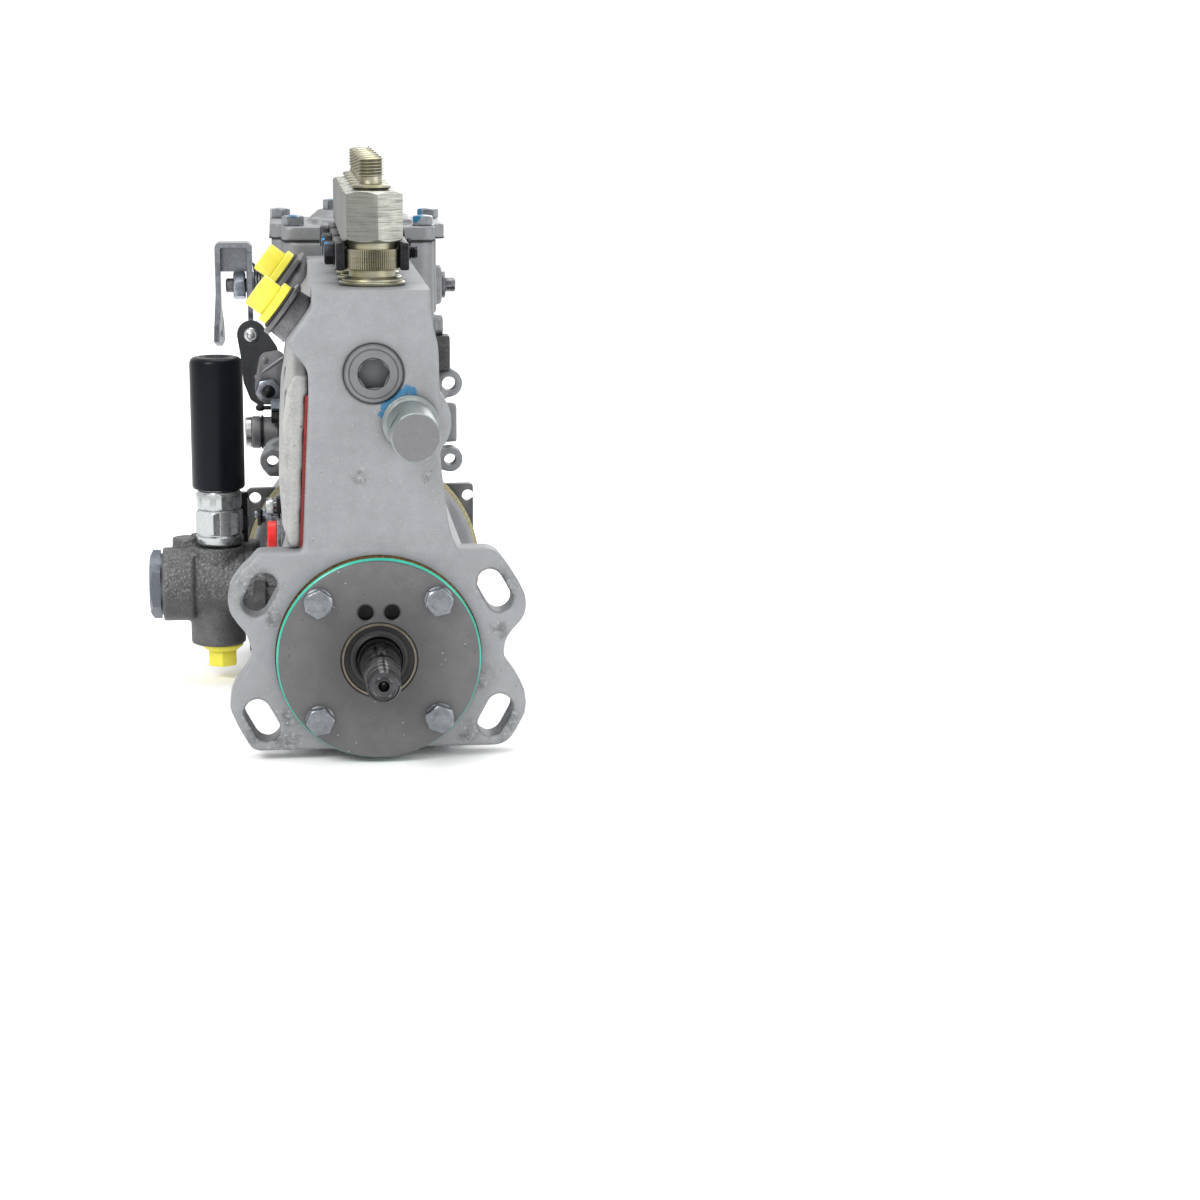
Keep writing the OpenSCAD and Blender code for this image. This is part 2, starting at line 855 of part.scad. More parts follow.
module oil_port_cap() {
    color([0.86, 0.14, 0.1])
    union() {
        rod_x(7.6, oil_y, oil_z, -52.2, -47.4);
        rod_x(2.9, oil_y, oil_z, -47.5, -41);
    }
}

module feed_flange() {
    union() {
        circle(22);
        square([66, 16], center = true);
        for (s = [-1, 1])
            translate([s * 33, 0])
                circle(8);
    }
}

module feed_pump_body() {
    color([0.37, 0.37, 0.38])
    difference() {
        union() {
            along_x(-54, -cam_half - 0.8)
                translate([feed_y, feed_z])
                    feed_flange();
            rod_x(17, feed_y, feed_z, -70, -53);
            rod_x(19.8, feed_y, feed_z, -108.8, -92);
            rod_x(18, feed_y, feed_z, -93, -66);
            rod_z(14.6, -80, feed_y, -30.5, 22.8);
            translate([-66, feed_y + 14, 0])
                cylinder(r = 9, h = 22.4);
            translate([-70, feed_y + 8, feed_z])
                cube([10, 14, 18]);
        }
        rod_x(11, feed_y, feed_z, -110, -56);
        rod_x(6, feed_y, feed_z, -57, -40);
        rod_z(9, -primer_x, feed_y, 12, 30);
        rod_z(7, -primer_x, feed_y, -40, -20);
        for (s = [-1, 1])
            rod_x(4.2, feed_y + s * 33, feed_z, -60, -40);
    }
}

module feed_pump_gasket() {
    color([0.3, 0.28, 0.24])
    along_x(-cam_half - 0.8, -cam_half)
        translate([feed_y, feed_z])
            difference() {
                circle(21.6);
                circle(12);
            }
}

module feed_pump_nuts() {
    color([0.6, 0.6, 0.62])
    for (s = [-1, 1])
        translate([-54, feed_y + s * 33, feed_z])
            rotate([0, -90, 0])
                hex_bolt(13, 6.5, 4, 18);
}

module feed_pump_plug() {
    color([0.42, 0.44, 0.47])
    translate([-108.8, feed_y, feed_z])
        rotate([0, -90, 0])
            difference() {
                union() {
                    rotate(30)
                        cylinder(r = 18.8, h = 6.8, $fn = 6);
                    cylinder(r = 16.4, h = 1.2);
                    translate([0, 0, -8])
                        cylinder(r = 10.94, h = 8.1);
                }
                translate([0, 0, -9])
                    cylinder(r = 8, h = 6);
            }
}

module feed_pump_piston() {
    color([0.66, 0.66, 0.68])
    rod_x(10.96, feed_y, feed_z, -76, -60);
}

module feed_pump_spring() {
    color([0.5, 0.5, 0.52])
    translate([-102.8, feed_y, feed_z])
        rotate([0, 90, 0])
            coil(6.4, 1, 0, 26.8, 6);
}

module feed_pump_tappet() {
    color([0.6, 0.6, 0.62])
    union() {
        rod_x(11.9, feed_y, feed_z, -44, -22);
        rod_x(5.95, feed_y, feed_z, -60, -43);
        rod_x(8, feed_y, feed_z, -23, -18);
    }
}

module feed_pump_cap() {
    color([0.93, 0.89, 0.24])
    translate([-primer_x, feed_y, -30.5])
        rotate([180, 0, 0])
            union() {
                cylinder(r = 11, h = 4);
                translate([0, 0, 3.9])
                    cylinder(r = 8.4, h = 8.4, $fn = 6);
                translate([0, 0, -8])
                    cylinder(r = 7, h = 8.1);
            }
}

module primer_barrel() {
    color([0.72, 0.73, 0.74])
    translate([-primer_x, feed_y, 0])
        difference() {
            union() {
                rod_z(9, 0, 0, 14, 23);
                rod_z(12.6, 0, 0, 22.8, 26.4);
                rotate([0, 0, 20])
                    intersection() {
                        rod_z(13.1, 0, 0, 26.3, 41);
                        translate([0, 0, 26.3])
                            cylinder(r = 24 / sqrt(3), h = 14.7, $fn = 6);
                    }
                rod_z(11.6, 0, 0, 40.9, 53);
                rod_z(10.4, 0, 0, 52.9, 98);
            }
            rod_z(7, 0, 0, 13, 92);
            rod_z(4.05, 0, 0, 90, 100);
        }
}

module primer_knob() {
    color([0.07, 0.08, 0.1])
    translate([-primer_x, feed_y, 0])
        union() {
            difference() {
                rotate_extrude()
                    polygon([[0, 53.2], [knob_d / 2 - 0.9, 53.2], [knob_d / 2, 54.2], [knob_d / 2, 120.5],
                        [knob_d / 2 - 0.6, 122.6], [knob_d / 2 - 2.4, 124], [9, 124.3], [7, 123.4], [0, 123.4]]);
                rod_z(10.8, 0, 0, 50, 118);
            }
            rod_z(4, 0, 0, 32, 119);
            rod_z(6.94, 0, 0, 26, 33);
        }
}

// Disc cut flat at the bottom
module flat_disc(r, z0) {
    intersection() {
        circle(r);
        translate([-r - 1, z0])
            square([2 * r + 2, 2 * r + 2]);
    }
}

module governor_housing() {
    color([0.6, 0.61, 0.62])
    difference() {
        union() {
            along_y(gov_y, gov_y + 9)
                flat_disc(gov_r, base_z);
            along_y(gov_y + 8, gov_back - 26)
                flat_disc(60, base_z + 6);
            along_y(gov_back - 27, gov_back - 8)
                flat_disc(52, base_z + 6);
            translate([0, 0, 20])
                linear_extrude(height = gov_top - 20)
                    translate([0, gov_y + 8 + (gov_len - 8) / 2])
                        round_rect(83.4, gov_len - 8, 12);
            // side boss of the lever shaft
            rod_x(11.4, lever_y, lever_z, 40, 49);
            rod_x(9.5, lever_y, lever_z, -47, -40);
            // lugs beside the joint
            translate([40, gov_y + 18, 108])
                cube([10.4, 16, 19]);
            translate([40, gov_y + 22, 96])
                cube([12, 8, 24]);
            rod_y(7.2, 50.2, 99.8, gov_y + 22, gov_y + 30);
            translate([40, gov_y + 16, 67])
                cube([14.4, 12, 21.6]);
            rod_y(6.8, 49.6, 59, gov_y + 3, gov_y + 14);
            rod_y(6.8, -49.6, 59, gov_y + 3, gov_y + 14);
            for (s = [-1, 1])
                translate([s > 0 ? 36 : -46, gov_y + 3, 53])
                    cube([10, 11, 12]);
            // bosses on the left for the torque capsule and the stop stud
            rod_x(12, capsule_y, capsule_z, -45, -36);
            translate([-56, stop_y + 3, 84])
                cube([16, 10, 18]);
        }
        along_y(gov_y + 3, gov_y + 70)
            flat_disc(54, base_z + 11);
        along_y(gov_y + 60, gov_back - 14)
            flat_disc(46, base_z + 11);
        rod_y(18, 0, 0, gov_y - 1, gov_y + 10);
        rod_y(9, rack_x, rack_z, gov_y - 1, gov_y + 20);
        translate([0, gov_y + 8 + (gov_len - 8) / 2, 20])
            linear_extrude(height = gov_top)
                round_rect(73, gov_len - 19, 8);
        rod_x(5.03, lever_y, lever_z, -60, 60);
        rod_y(4, 50.2, 99.8, gov_y, gov_y + 60);
        rod_y(3.3, 49.6, 59, gov_y, gov_y + 20);
        rod_y(3.3, -49.6, 59, gov_y, gov_y + 20);
        rod_x(8, capsule_y, capsule_z, -60, -30);
        rod_y(4, stop_x, stop_z, stop_y - 10, stop_y + 14);
    }
}

module governor_gasket() {
    color([0.8, 0.77, 0.6])
    along_y(body_back, gov_y)
        difference() {
            flat_disc(gov_r + 0.4, base_z);
            flat_disc(53, base_z + 10);
        }
}

module cover_plan(grow) {
    translate([0, gov_y + 8 + 20])
        round_rect(85 + grow, 40, 8);
    translate([0, gov_y + (gov_len + 32) / 2])
        round_rect(98 + grow, gov_len - 32, 10);
}

module governor_cover() {
    color([0.62, 0.63, 0.64])
    difference() {
        union() {
            translate([0, 0, gov_top + 0.8])
                linear_extrude(height = 7.6)
                    cover_plan(0);
            translate([0, 0, gov_top + 8.3])
                linear_extrude(height = 3)
                    translate([0, gov_y + 60])
                        round_rect(62, 64, 8);
            translate([-8, gov_y + 62, gov_top + 11.2])
                cylinder(r = 13, h = 4);
        }
        cover_bolt_places()
            translate([0, 0, -20])
                cylinder(r = 3.1, h = 40);
        translate([-14, gov_y + 60, gov_top])
            cylinder(r = 2.5, h = 16);
    }
}

module governor_cover_gasket() {
    color([0.08, 0.08, 0.09])
    translate([0, 0, gov_top])
        linear_extrude(height = 0.8)
            difference() {
                cover_plan(0.6);
                translate([0, gov_y + 8 + (gov_len - 8) / 2])
                    round_rect(73, gov_len - 19, 8);
                for (p = cover_bolt_spots)
                    translate(p)
                        circle(3.1);
            }
}

module cover_bolt_places() {
    for (p = cover_bolt_spots)
        translate([p[0], p[1], gov_top + 8.4])
            children();
}

module governor_cover_bolts() {
    color([0.66, 0.68, 0.7])
    cover_bolt_places()
        hex_bolt(10, 5, 3, 8.4);
    color([0.66, 0.68, 0.7])
    translate([-14, gov_y + 60, gov_top + 15.2])
        hex_bolt(8, 5.5, 2.5, 10);
}

module flyweight_carrier() {
    color([0.46, 0.46, 0.47])
    difference() {
        union() {
            rod_y(14, 0, 0, gov_y + 5, gov_y + 36);
            rod_y(36, 0, 0, gov_y + 14, gov_y + 20);
            for (a = [0, 180])
                rotate([0, a, 0])
                    translate([18, gov_y + 19, -13])
                        cube([17, 24, 26]);
        }
        rod_y(8.03, 0, 0, gov_y, gov_y + 60);
    }
}

module lever_shaft() {
    color([0.55, 0.55, 0.56])
    union() {
        rod_x(5, lever_y, lever_z, -59.3, 49.6);
        rod_x(4, lever_y, lever_z, 49, 57);
        rod_x(7.6, lever_y, lever_z, 49.2, 51);
        rod_x(4, lever_y, lever_z, -74.5, -59);
        translate([-69.5, lever_y, lever_z])
            rotate([0, 90, 0])
                cylinder(r = 13 / sqrt(3), h = 7, $fn = 6);
        translate([-12, lever_y - 6, lever_z - 6])
            cube([24, 12, 12]);
    }
}

// Strip of the control lever in Y and Z, round at both ends
module lever_arm(x0, x1, z0, w) {
    along_x(x0, x1)
        translate([lever_y, 0])
            union() {
                translate([-w / 2, z0 + w / 2])
                    square([w, lever_top - z0 - w / 2]);
                translate([0, z0 + w / 2])
                    circle(w / 2);
            }
}

module control_lever() {
    color([0.6, 0.62, 0.65])
    difference() {
        union() {
            lever_arm(-80.4, -77.4, rod_hole_z - 8, 16);
            lever_arm(-62.2, -59.4, lever_z - 22, 18);
            translate([-80.4, lever_y - 8, lever_top - 16.5])
                cube([21, 3, 16.5]);
            translate([-80.4, lever_y - 9, lever_top - 2])
                cube([21, 18, 2.6]);
        }
        rod_x(4.03, lever_y, lever_z, -63, -59);
        rod_x(3.2, lever_y, rod_hole_z, -82, -76);
    }
}

module stop_lever() {
    color([0.27, 0.27, 0.28])
    along_y(stop_y - 3, stop_y)
        difference() {
            union() {
                translate([stop_x, stop_z])
                    circle(9);
                translate([-60.8, 124])
                    circle(9);
                polygon([[-69.6, 122], [-62, 96], [-57, 86], [-44.6, 87.5], [-42.5, 95], [-46, 112], [-52.2, 126.5]]);
            }
            translate([stop_x, stop_z])
                circle(4.05);
        }
    color([0.6, 0.62, 0.65])
    translate([-60.8, stop_y - 3, 124])
        rotate([90, 0, 0])
            rotate_extrude()
                polygon([[0, -1], [4.2, -1], [4.2, 0.6], [3, 1.8], [1.2, 2.4], [0, 2.4]]);
}

module stop_stud() {
    color([0.6, 0.62, 0.65])
    union() {
        rod_y(4, stop_x, stop_z, stop_y - 8, stop_y + 13);
        translate([stop_x, stop_y - 3.1, stop_z])
            rotate([90, 10, 0])
                cylinder(r = 13 / sqrt(3), h = 5, $fn = 6);
        translate([stop_x, stop_y - 8, stop_z])
            sphere(4);
    }
}

module torque_capsule() {
    color([0.5, 0.5, 0.52])
    union() {
        rod_x(7.9, capsule_y, capsule_z, -52, -38);
        rod_x(9, capsule_y, capsule_z, -58, -45);
        rod_x(10.2, capsule_y, capsule_z, -61.5, -57.9);
        rod_x(8.8, capsule_y, capsule_z, -65, -61.4);
    }
}

module rear_support_plate() {
    color([0.5, 0.5, 0.51])
    along_y(gov_y + 9, gov_y + 15)
        difference() {
            translate([0, (42 + base_z) / 2])
                round_rect(128, 42 - base_z, 3);
            flat_disc(60, base_z + 6);
            for (sx = [-1, 1])
                for (z = [37.5, base_z + 7])
                    translate([sx * 59.8, z])
                        circle(3.3);
            polygon([[-41.8, 20], [41.8, 20], [41.8, 60], [-41.8, 60]]);
        }
}

pump_housing();
bearing_end_plate();
end_plate_bolts();
end_plate_gasket();
pilot_o_ring();
shaft_seal();
front_bearing();
rear_bearing();
camshaft();
woodruff_key();
tappets();
tappet_rollers();
spring_seats();
plunger_springs();
plungers();
barrels();
control_sleeve_1();
control_sleeve_2();
control_sleeve_3();
control_sleeve_4();
control_sleeve_5();
control_sleeve_6();
control_rack();
rack_cap();
gallery_plug();
delivery_valves();
delivery_valve_springs();
delivery_valve_holders();
clamp_plates();
clamp_bolts();
side_cover();
side_cover_gasket();
side_cover_screws();
fuel_unions();
union_seals();
union_caps();
oil_port();
oil_port_cap();
feed_pump_body();
feed_pump_gasket();
feed_pump_nuts();
feed_pump_plug();
feed_pump_piston();
feed_pump_spring();
feed_pump_tappet();
feed_pump_cap();
primer_barrel();
primer_knob();
governor_housing();
governor_gasket();
governor_cover();
governor_cover_gasket();
governor_cover_bolts();
flyweight_carrier();
lever_shaft();
control_lever();
stop_lever();
stop_stud();
torque_capsule();
rear_support_plate();
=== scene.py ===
"""Looks of an inline diesel injection pump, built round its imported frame."""
import json
import math

import bmesh
import bpy
from mathutils import Matrix, Vector


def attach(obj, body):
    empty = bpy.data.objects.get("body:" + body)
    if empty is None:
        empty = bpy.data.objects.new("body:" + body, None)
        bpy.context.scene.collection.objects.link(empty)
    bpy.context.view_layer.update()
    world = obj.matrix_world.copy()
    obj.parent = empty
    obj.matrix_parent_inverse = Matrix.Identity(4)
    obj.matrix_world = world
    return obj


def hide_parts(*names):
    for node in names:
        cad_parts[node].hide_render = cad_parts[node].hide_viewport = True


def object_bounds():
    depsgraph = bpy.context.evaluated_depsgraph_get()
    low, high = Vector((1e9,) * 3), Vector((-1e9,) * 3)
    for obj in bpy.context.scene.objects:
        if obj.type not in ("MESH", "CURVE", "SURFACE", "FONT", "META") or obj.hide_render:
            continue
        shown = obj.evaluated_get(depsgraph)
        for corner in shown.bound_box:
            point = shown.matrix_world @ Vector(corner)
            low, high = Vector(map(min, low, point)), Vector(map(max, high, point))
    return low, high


bl_info = {
    "name": "Inline injection pump",
    "version": (1, 0, 0),
    "blender": (4, 5, 0),
    "location": "View3D > Sidebar > Pump",
    "description": "Models and paints the pieces of an inline diesel injection pump",
    "category": "Add Mesh",
}

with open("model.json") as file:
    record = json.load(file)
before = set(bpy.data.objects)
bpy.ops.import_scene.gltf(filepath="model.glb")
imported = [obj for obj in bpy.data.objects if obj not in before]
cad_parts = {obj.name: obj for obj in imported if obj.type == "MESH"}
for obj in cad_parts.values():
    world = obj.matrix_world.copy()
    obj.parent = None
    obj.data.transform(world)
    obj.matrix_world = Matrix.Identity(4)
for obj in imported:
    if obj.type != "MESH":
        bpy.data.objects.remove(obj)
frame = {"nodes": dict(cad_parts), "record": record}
CAD_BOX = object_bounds()
NODES = frame["nodes"]
MM, TO_MM = 0.001, 1000
ALONG = {
    "+X": Matrix.Rotation(math.radians(90), 4, "Y"),
    "-X": Matrix.Rotation(math.radians(-90), 4, "Y"),
    "+Y": Matrix.Rotation(math.radians(-90), 4, "X"),
    "-Y": Matrix.Rotation(math.radians(90), 4, "X"),
    "+Z": Matrix.Identity(4),
    "-Z": Matrix.Rotation(math.radians(180), 4, "X"),
}


# ---------------------------------------------------------------- modelling

class Form:
    """A closed shape in millimetres, shaped by bmesh operators. Most calls change it and give it back."""

    def __init__(self):
        self.bm = bmesh.new()

    @classmethod
    def lathe(cls, profile, steps=64, ring=False):
        """Turned shape round Z. profile lists (radius, height); ring closes the profile on itself."""
        form = cls()
        bm = form.bm
        verts = [bm.verts.new((r, 0, z)) for r, z in profile]
        pairs = list(zip(verts, verts[1:])) + ([(verts[-1], verts[0])] if ring else [])
        edges = [bm.edges.new(p) for p in pairs]
        bmesh.ops.spin(bm, geom=verts + edges, cent=(0, 0, 0), axis=(0, 0, 1), dvec=(0, 0, 0),
                       angle=math.tau, steps=steps, use_merge=True, use_duplicate=False)
        return form.closed()

    @classmethod
    def disc(cls, radius, low, high, steps=64, top=None):
        """Round bar along Z from low to high."""
        form = cls()
        bmesh.ops.create_cone(form.bm, cap_ends=True, segments=steps, radius1=radius,
                              radius2=radius if top is None else top, depth=high - low,
                              matrix=Matrix.Translation((0, 0, (low + high) / 2)))
        return form

    @classmethod
    def block(cls, low, high):
        """Box between two corners."""
        form = cls()
        size = [b - a for a, b in zip(low, high)]
        middle = [(a + b) / 2 for a, b in zip(low, high)]
        bmesh.ops.create_cube(form.bm, size=1, matrix=Matrix.Translation(middle) @ Matrix.Diagonal((*size, 1)))
        return form

    @classmethod
    def plate(cls, outline, low, high, corner=None):
        """Outline in X and Y pushed along Z. corner rounds its corners: one radius, or one for each point."""
        form = cls()
        bm = form.bm
        verts = [bm.verts.new((x, y, low)) for x, y in outline]
        bm.faces.new(verts)
        if corner is not None:
            radii = corner if isinstance(corner, (list, tuple)) else [corner] * len(verts)
            for radius in sorted(set(r for r in radii if r)):
                picked = [v for v, r in zip(verts, radii) if r == radius and v.is_valid]
                bmesh.ops.bevel(bm, geom=picked, offset=radius, offset_type="WIDTH", segments=5, profile=0.5,
                                affect="VERTICES", clamp_overlap=True, material=-1)
        made = bmesh.ops.extrude_face_region(bm, geom=bm.faces[:])["geom"]
        bmesh.ops.translate(bm, verts=[v for v in made if isinstance(v, bmesh.types.BMVert)], vec=(0, 0, high - low))
        return form.closed()

    @classmethod
    def hexagon(cls, across_flats, low, high, turn=0, crown=0.0, foot=0.0):
        """Hexagon bar whose top or foot corners are turned off at 30 degrees."""
        bar = cls.disc(across_flats / math.sqrt(3), low, high, steps=6).turn(turn + 30, "Z")
        reach = across_flats / math.sqrt(3) + 0.01
        flat = across_flats / 2 * 0.95
        fall = (reach - flat) * 0.58
        profile = [(0, low)]
        profile += [(flat, low), (reach, low + fall)] if foot else [(reach, low)]
        profile += [(reach, high - fall), (flat, high)] if crown else [(reach, high)]
        profile += [(0, high)]
        return bar.keep(cls.lathe(profile, 72)) if crown or foot else bar

    @classmethod
    def of_node(cls, name):
        """Merged copy of a node of the frame."""
        form = cls()
        form.bm.from_mesh(NODES[name].data)
        bmesh.ops.scale(form.bm, vec=[TO_MM] * 3, verts=form.bm.verts)
        bmesh.ops.remove_doubles(form.bm, verts=form.bm.verts, dist=0.0005)
        return form

    def closed(self):
        bmesh.ops.remove_doubles(self.bm, verts=self.bm.verts, dist=0.0005)
        bmesh.ops.recalc_face_normals(self.bm, faces=self.bm.faces)
        return self

    def along(self, axis, origin=(0, 0, 0)):
        """Lays the form's Z along an axis of the frame and moves its zero to origin."""
        bmesh.ops.transform(self.bm, matrix=Matrix.Translation(origin) @ ALONG[axis], verts=self.bm.verts)
        return self

    def placed(self, matrix):
        bmesh.ops.transform(self.bm, matrix=matrix, verts=self.bm.verts)
        return self

    def move(self, x=0, y=0, z=0):
        bmesh.ops.translate(self.bm, vec=(x, y, z), verts=self.bm.verts)
        return self

    def turn(self, degrees, axis, centre=(0, 0, 0)):
        bmesh.ops.rotate(self.bm, cent=centre, matrix=Matrix.Rotation(math.radians(degrees), 3, axis),
                         verts=self.bm.verts)
        return self

    def edged(self, width, segments=2, angle=28):
        """Breaks the edges sharper than angle degrees."""
        limit = math.radians(angle)
        edges = [e for e in self.bm.edges if len(e.link_faces) == 2 and e.calc_face_angle(0) > limit]
        if edges:
            bmesh.ops.bevel(self.bm, geom=edges, offset=width, offset_type="OFFSET", segments=segments,
                            profile=0.5, affect="EDGES", clamp_overlap=True, material=-1)
        return self

    def also(self, *others):
        """Adds loose forms without a union."""
        for other in others:
            mesh = bpy.data.meshes.new("also")
            other.bm.to_mesh(mesh)
            self.bm.from_mesh(mesh)
            bpy.data.meshes.remove(mesh)
        return self

    def _through(self, build):
        """Runs modifiers over the form: build gets the temporary object."""
        mesh = bpy.data.meshes.new("form")
        self.bm.to_mesh(mesh)
        self.bm.free()
        thing = bpy.data.objects.new("form", mesh)
        bpy.context.scene.collection.objects.link(thing)
        spare = build(thing) or []
        bpy.context.view_layer.update()
        made = bpy.data.meshes.new_from_object(thing.evaluated_get(bpy.context.evaluated_depsgraph_get()))
        for o in [thing] + spare:
            data = o.data
            bpy.data.objects.remove(o)
            bpy.data.meshes.remove(data)
        self.bm = bmesh.new()
        self.bm.from_mesh(made)
        bpy.data.meshes.remove(made)
        return self

    def _boolean(self, others, operation):
        def build(thing):
            spare = []
            for other in others:
                mesh = bpy.data.meshes.new("tool")
                other.bm.to_mesh(mesh)
                tool = bpy.data.objects.new("tool", mesh)
                bpy.context.scene.collection.objects.link(tool)
                spare.append(tool)
                step = thing.modifiers.new(operation, "BOOLEAN")
                step.operation, step.object, step.solver = operation, tool, "MANIFOLD"
            return spare
        return self._through(build)

    def join(self, *others):
        return self._boolean(others, "UNION")

    def cut(self, *others):
        return self._boolean(others, "DIFFERENCE")

    def keep(self, *others):
        return self._boolean(others, "INTERSECT")

    def cast(self, grain, rounds, share=1.0):
        """Melts the form into one skin with soft corners, as a casting has them."""
        grain = grain * 1

        def build(thing):
            skin = thing.modifiers.new("skin", "REMESH")
            skin.mode, skin.voxel_size, skin.adaptivity = "VOXEL", grain, 0
            calm = thing.modifiers.new("calm", "SMOOTH")
            calm.factor, calm.iterations = 0.5, rounds
            if share < 1:
                thin = thing.modifiers.new("thin", "DECIMATE")
                thin.ratio = share
        return self._through(build)

    def piece(self, name, slot, replaces=(), body="pump", look=None, smooth=32):
        """Makes the form an object of the scene, in metres, that rides on a body and stands for nodes.

        look names another finish than the slot's own; edges sharper than smooth degrees stay sharp."""
        bmesh.ops.scale(self.bm, vec=[MM] * 3, verts=self.bm.verts)
        mesh = bpy.data.meshes.new(name)
        self.bm.to_mesh(mesh)
        self.bm.free()
        mesh.shade_smooth()
        mesh.set_sharp_from_angle(angle=math.radians(smooth))
        thing = bpy.data.objects.new(name, mesh)
        bpy.context.scene.collection.objects.link(thing)
        mesh.materials.append(paint(look or slot))
        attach(thing, body)
        if replaces:
            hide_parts(*replaces)
        return thing


def gathered(forms):
    first, *rest = forms
    return first.also(*rest)


def rectangle(a, b, c, d):
    """Corner points from (a, b) to (c, d)."""
    return [(a, b), (c, b), (c, d), (a, d)]


def flat_y(outline, low, high, corner=None):
    """Outline in X and Z pushed along Y."""
    form = Form.plate([(x, -z) for x, z in outline], low, high, corner)
    return form.placed(Matrix.Rotation(math.radians(-90), 4, "X"))


def flat_x(outline, low, high, corner=None):
    """Outline in Y and Z pushed along X."""
    form = Form.plate([(-z, y) for y, z in outline], low, high, corner)
    return form.placed(Matrix.Rotation(math.radians(90), 4, "Y"))


def thread(radius, depth, pitch, turns, low, steps=32):
    """Screw thread round Z: one saw profile spun with a lift."""
    form = Form()
    bm = form.bm
    core = radius - depth
    points = [(core, 0), (radius, pitch * 0.38), (radius, pitch * 0.56), (core, pitch * 0.94), (core, pitch)]
    verts = [bm.verts.new((r, 0, low + z)) for r, z in points]
    edges = [bm.edges.new(p) for p in zip(verts, verts[1:])]
    bmesh.ops.spin(bm, geom=verts + edges, cent=(0, 0, 0), axis=(0, 0, 1), dvec=(0, 0, pitch / steps),
                   angle=math.tau * turns, steps=steps * turns, use_merge=False, use_duplicate=False)
    bmesh.ops.remove_doubles(bm, verts=bm.verts, dist=0.001)
    return form


def turned_y(profile, x=0.0, z=0.0, steps=96, ring=False):
    """Turned form on a Y axis: profile lists (radius, Y)."""
    return Form.lathe(profile, steps, ring).along("+Y", (x, 0, z))


def turned_x(profile, y, z, ring=False):
    """Turned form on an X axis: profile lists (radius, X)."""
    return Form.lathe(profile, 72, ring).along("+X", (0, y, z))


def rod_y(radius, x, z, low, high, steps=64):
    return Form.disc(radius, low, high, steps).along("+Y", (x, 0, z))


def rod_x(radius, y, z, low, high, steps=64):
    return Form.disc(radius, low, high, steps).along("+X", (0, y, z))


def rod_z(radius, x, y, low, high, steps=64):
    return Form.disc(radius, low, high, steps).move(x, y, 0)


def hoop(radius, wire, steps, sides=16):
    """Round ring of round wire, about Z."""
    profile = [(radius + wire * math.cos(math.tau * k / sides), wire * math.sin(math.tau * k / sides))
               for k in range(sides)]
    return Form.lathe(profile, steps, ring=True)


def wire(points, radius, sides=12):
    """Bent wire: a round bar between each two points, with a ball at every bend."""
    form = Form()
    for start, end in zip(points, points[1:]):
        start, end = Vector(start), Vector(end)
        lay = Matrix.Translation((start + end) / 2) @ (end - start).to_track_quat("Z", "Y").to_matrix().to_4x4()
        bmesh.ops.create_cone(form.bm, cap_ends=True, segments=sides, radius1=radius, radius2=radius,
                              depth=(end - start).length, matrix=lay)
    for spot in points:
        bmesh.ops.create_uvsphere(form.bm, u_segments=sides, v_segments=8, radius=radius,
                                  matrix=Matrix.Translation(spot))
    return form


def bolt(across, height, shank, length, turn=0, dome=0.5, washer=0.8):
    """Hexagon bolt round Z, head upwards from 0, with a washer face and a domed top."""
    head = Form.hexagon(across, washer * 0.6, height, turn, crown=1).edged(0.22, 1, 20)
    collar = Form.lathe([(0, 0), (across * 0.56, 0), (across * 0.57, washer * 0.5), (across * 0.5, washer),
                         (0, washer)], 48)
    head = head.join(Form.lathe([(0, height - 1), (across * 0.41, height - 1), (across * 0.41, height - 0.3),
                                 (across * 0.36, height), (across * 0.3, height + dome * 0.4),
                                 (across * 0.2, height + dome * 0.8), (0, height + dome)], 40))
    return head.join(collar, Form.disc(shank, -length, 0.2, 32))


# ---------------------------------------------------------------- materials

class Sock:
    """A number, colour or vector in a material, for use in expressions."""

    def __init__(self, paint, socket):
        self.paint, self.socket = paint, socket

    def _math(self, operation, *numbers):
        return self.paint.add("ShaderNodeMath", {"operation": operation}, dict(enumerate(numbers)))

    def __add__(self, other):
        return self._math("ADD", self, other)

    def __sub__(self, other):
        return self._math("SUBTRACT", self, other)

    def __rsub__(self, other):
        return self._math("SUBTRACT", other, self)

    def __mul__(self, other):
        return self._math("MULTIPLY", self, other)

    def __pow__(self, other):
        return self._math("POWER", self, other)

    __radd__, __rmul__ = __add__, __mul__

    def above(self, low, high):
        """0 below low, 1 above high, smooth between."""
        return self.paint.add("ShaderNodeMapRange", {"interpolation_type": "SMOOTHSTEP"}, {0: self, 1: low, 2: high})

    def below(self, low, high):
        return 1 - self.above(low, high)

    def most(self, other):
        return self._math("MAXIMUM", self, other)

    def size(self):
        return self._math("ABSOLUTE", self)


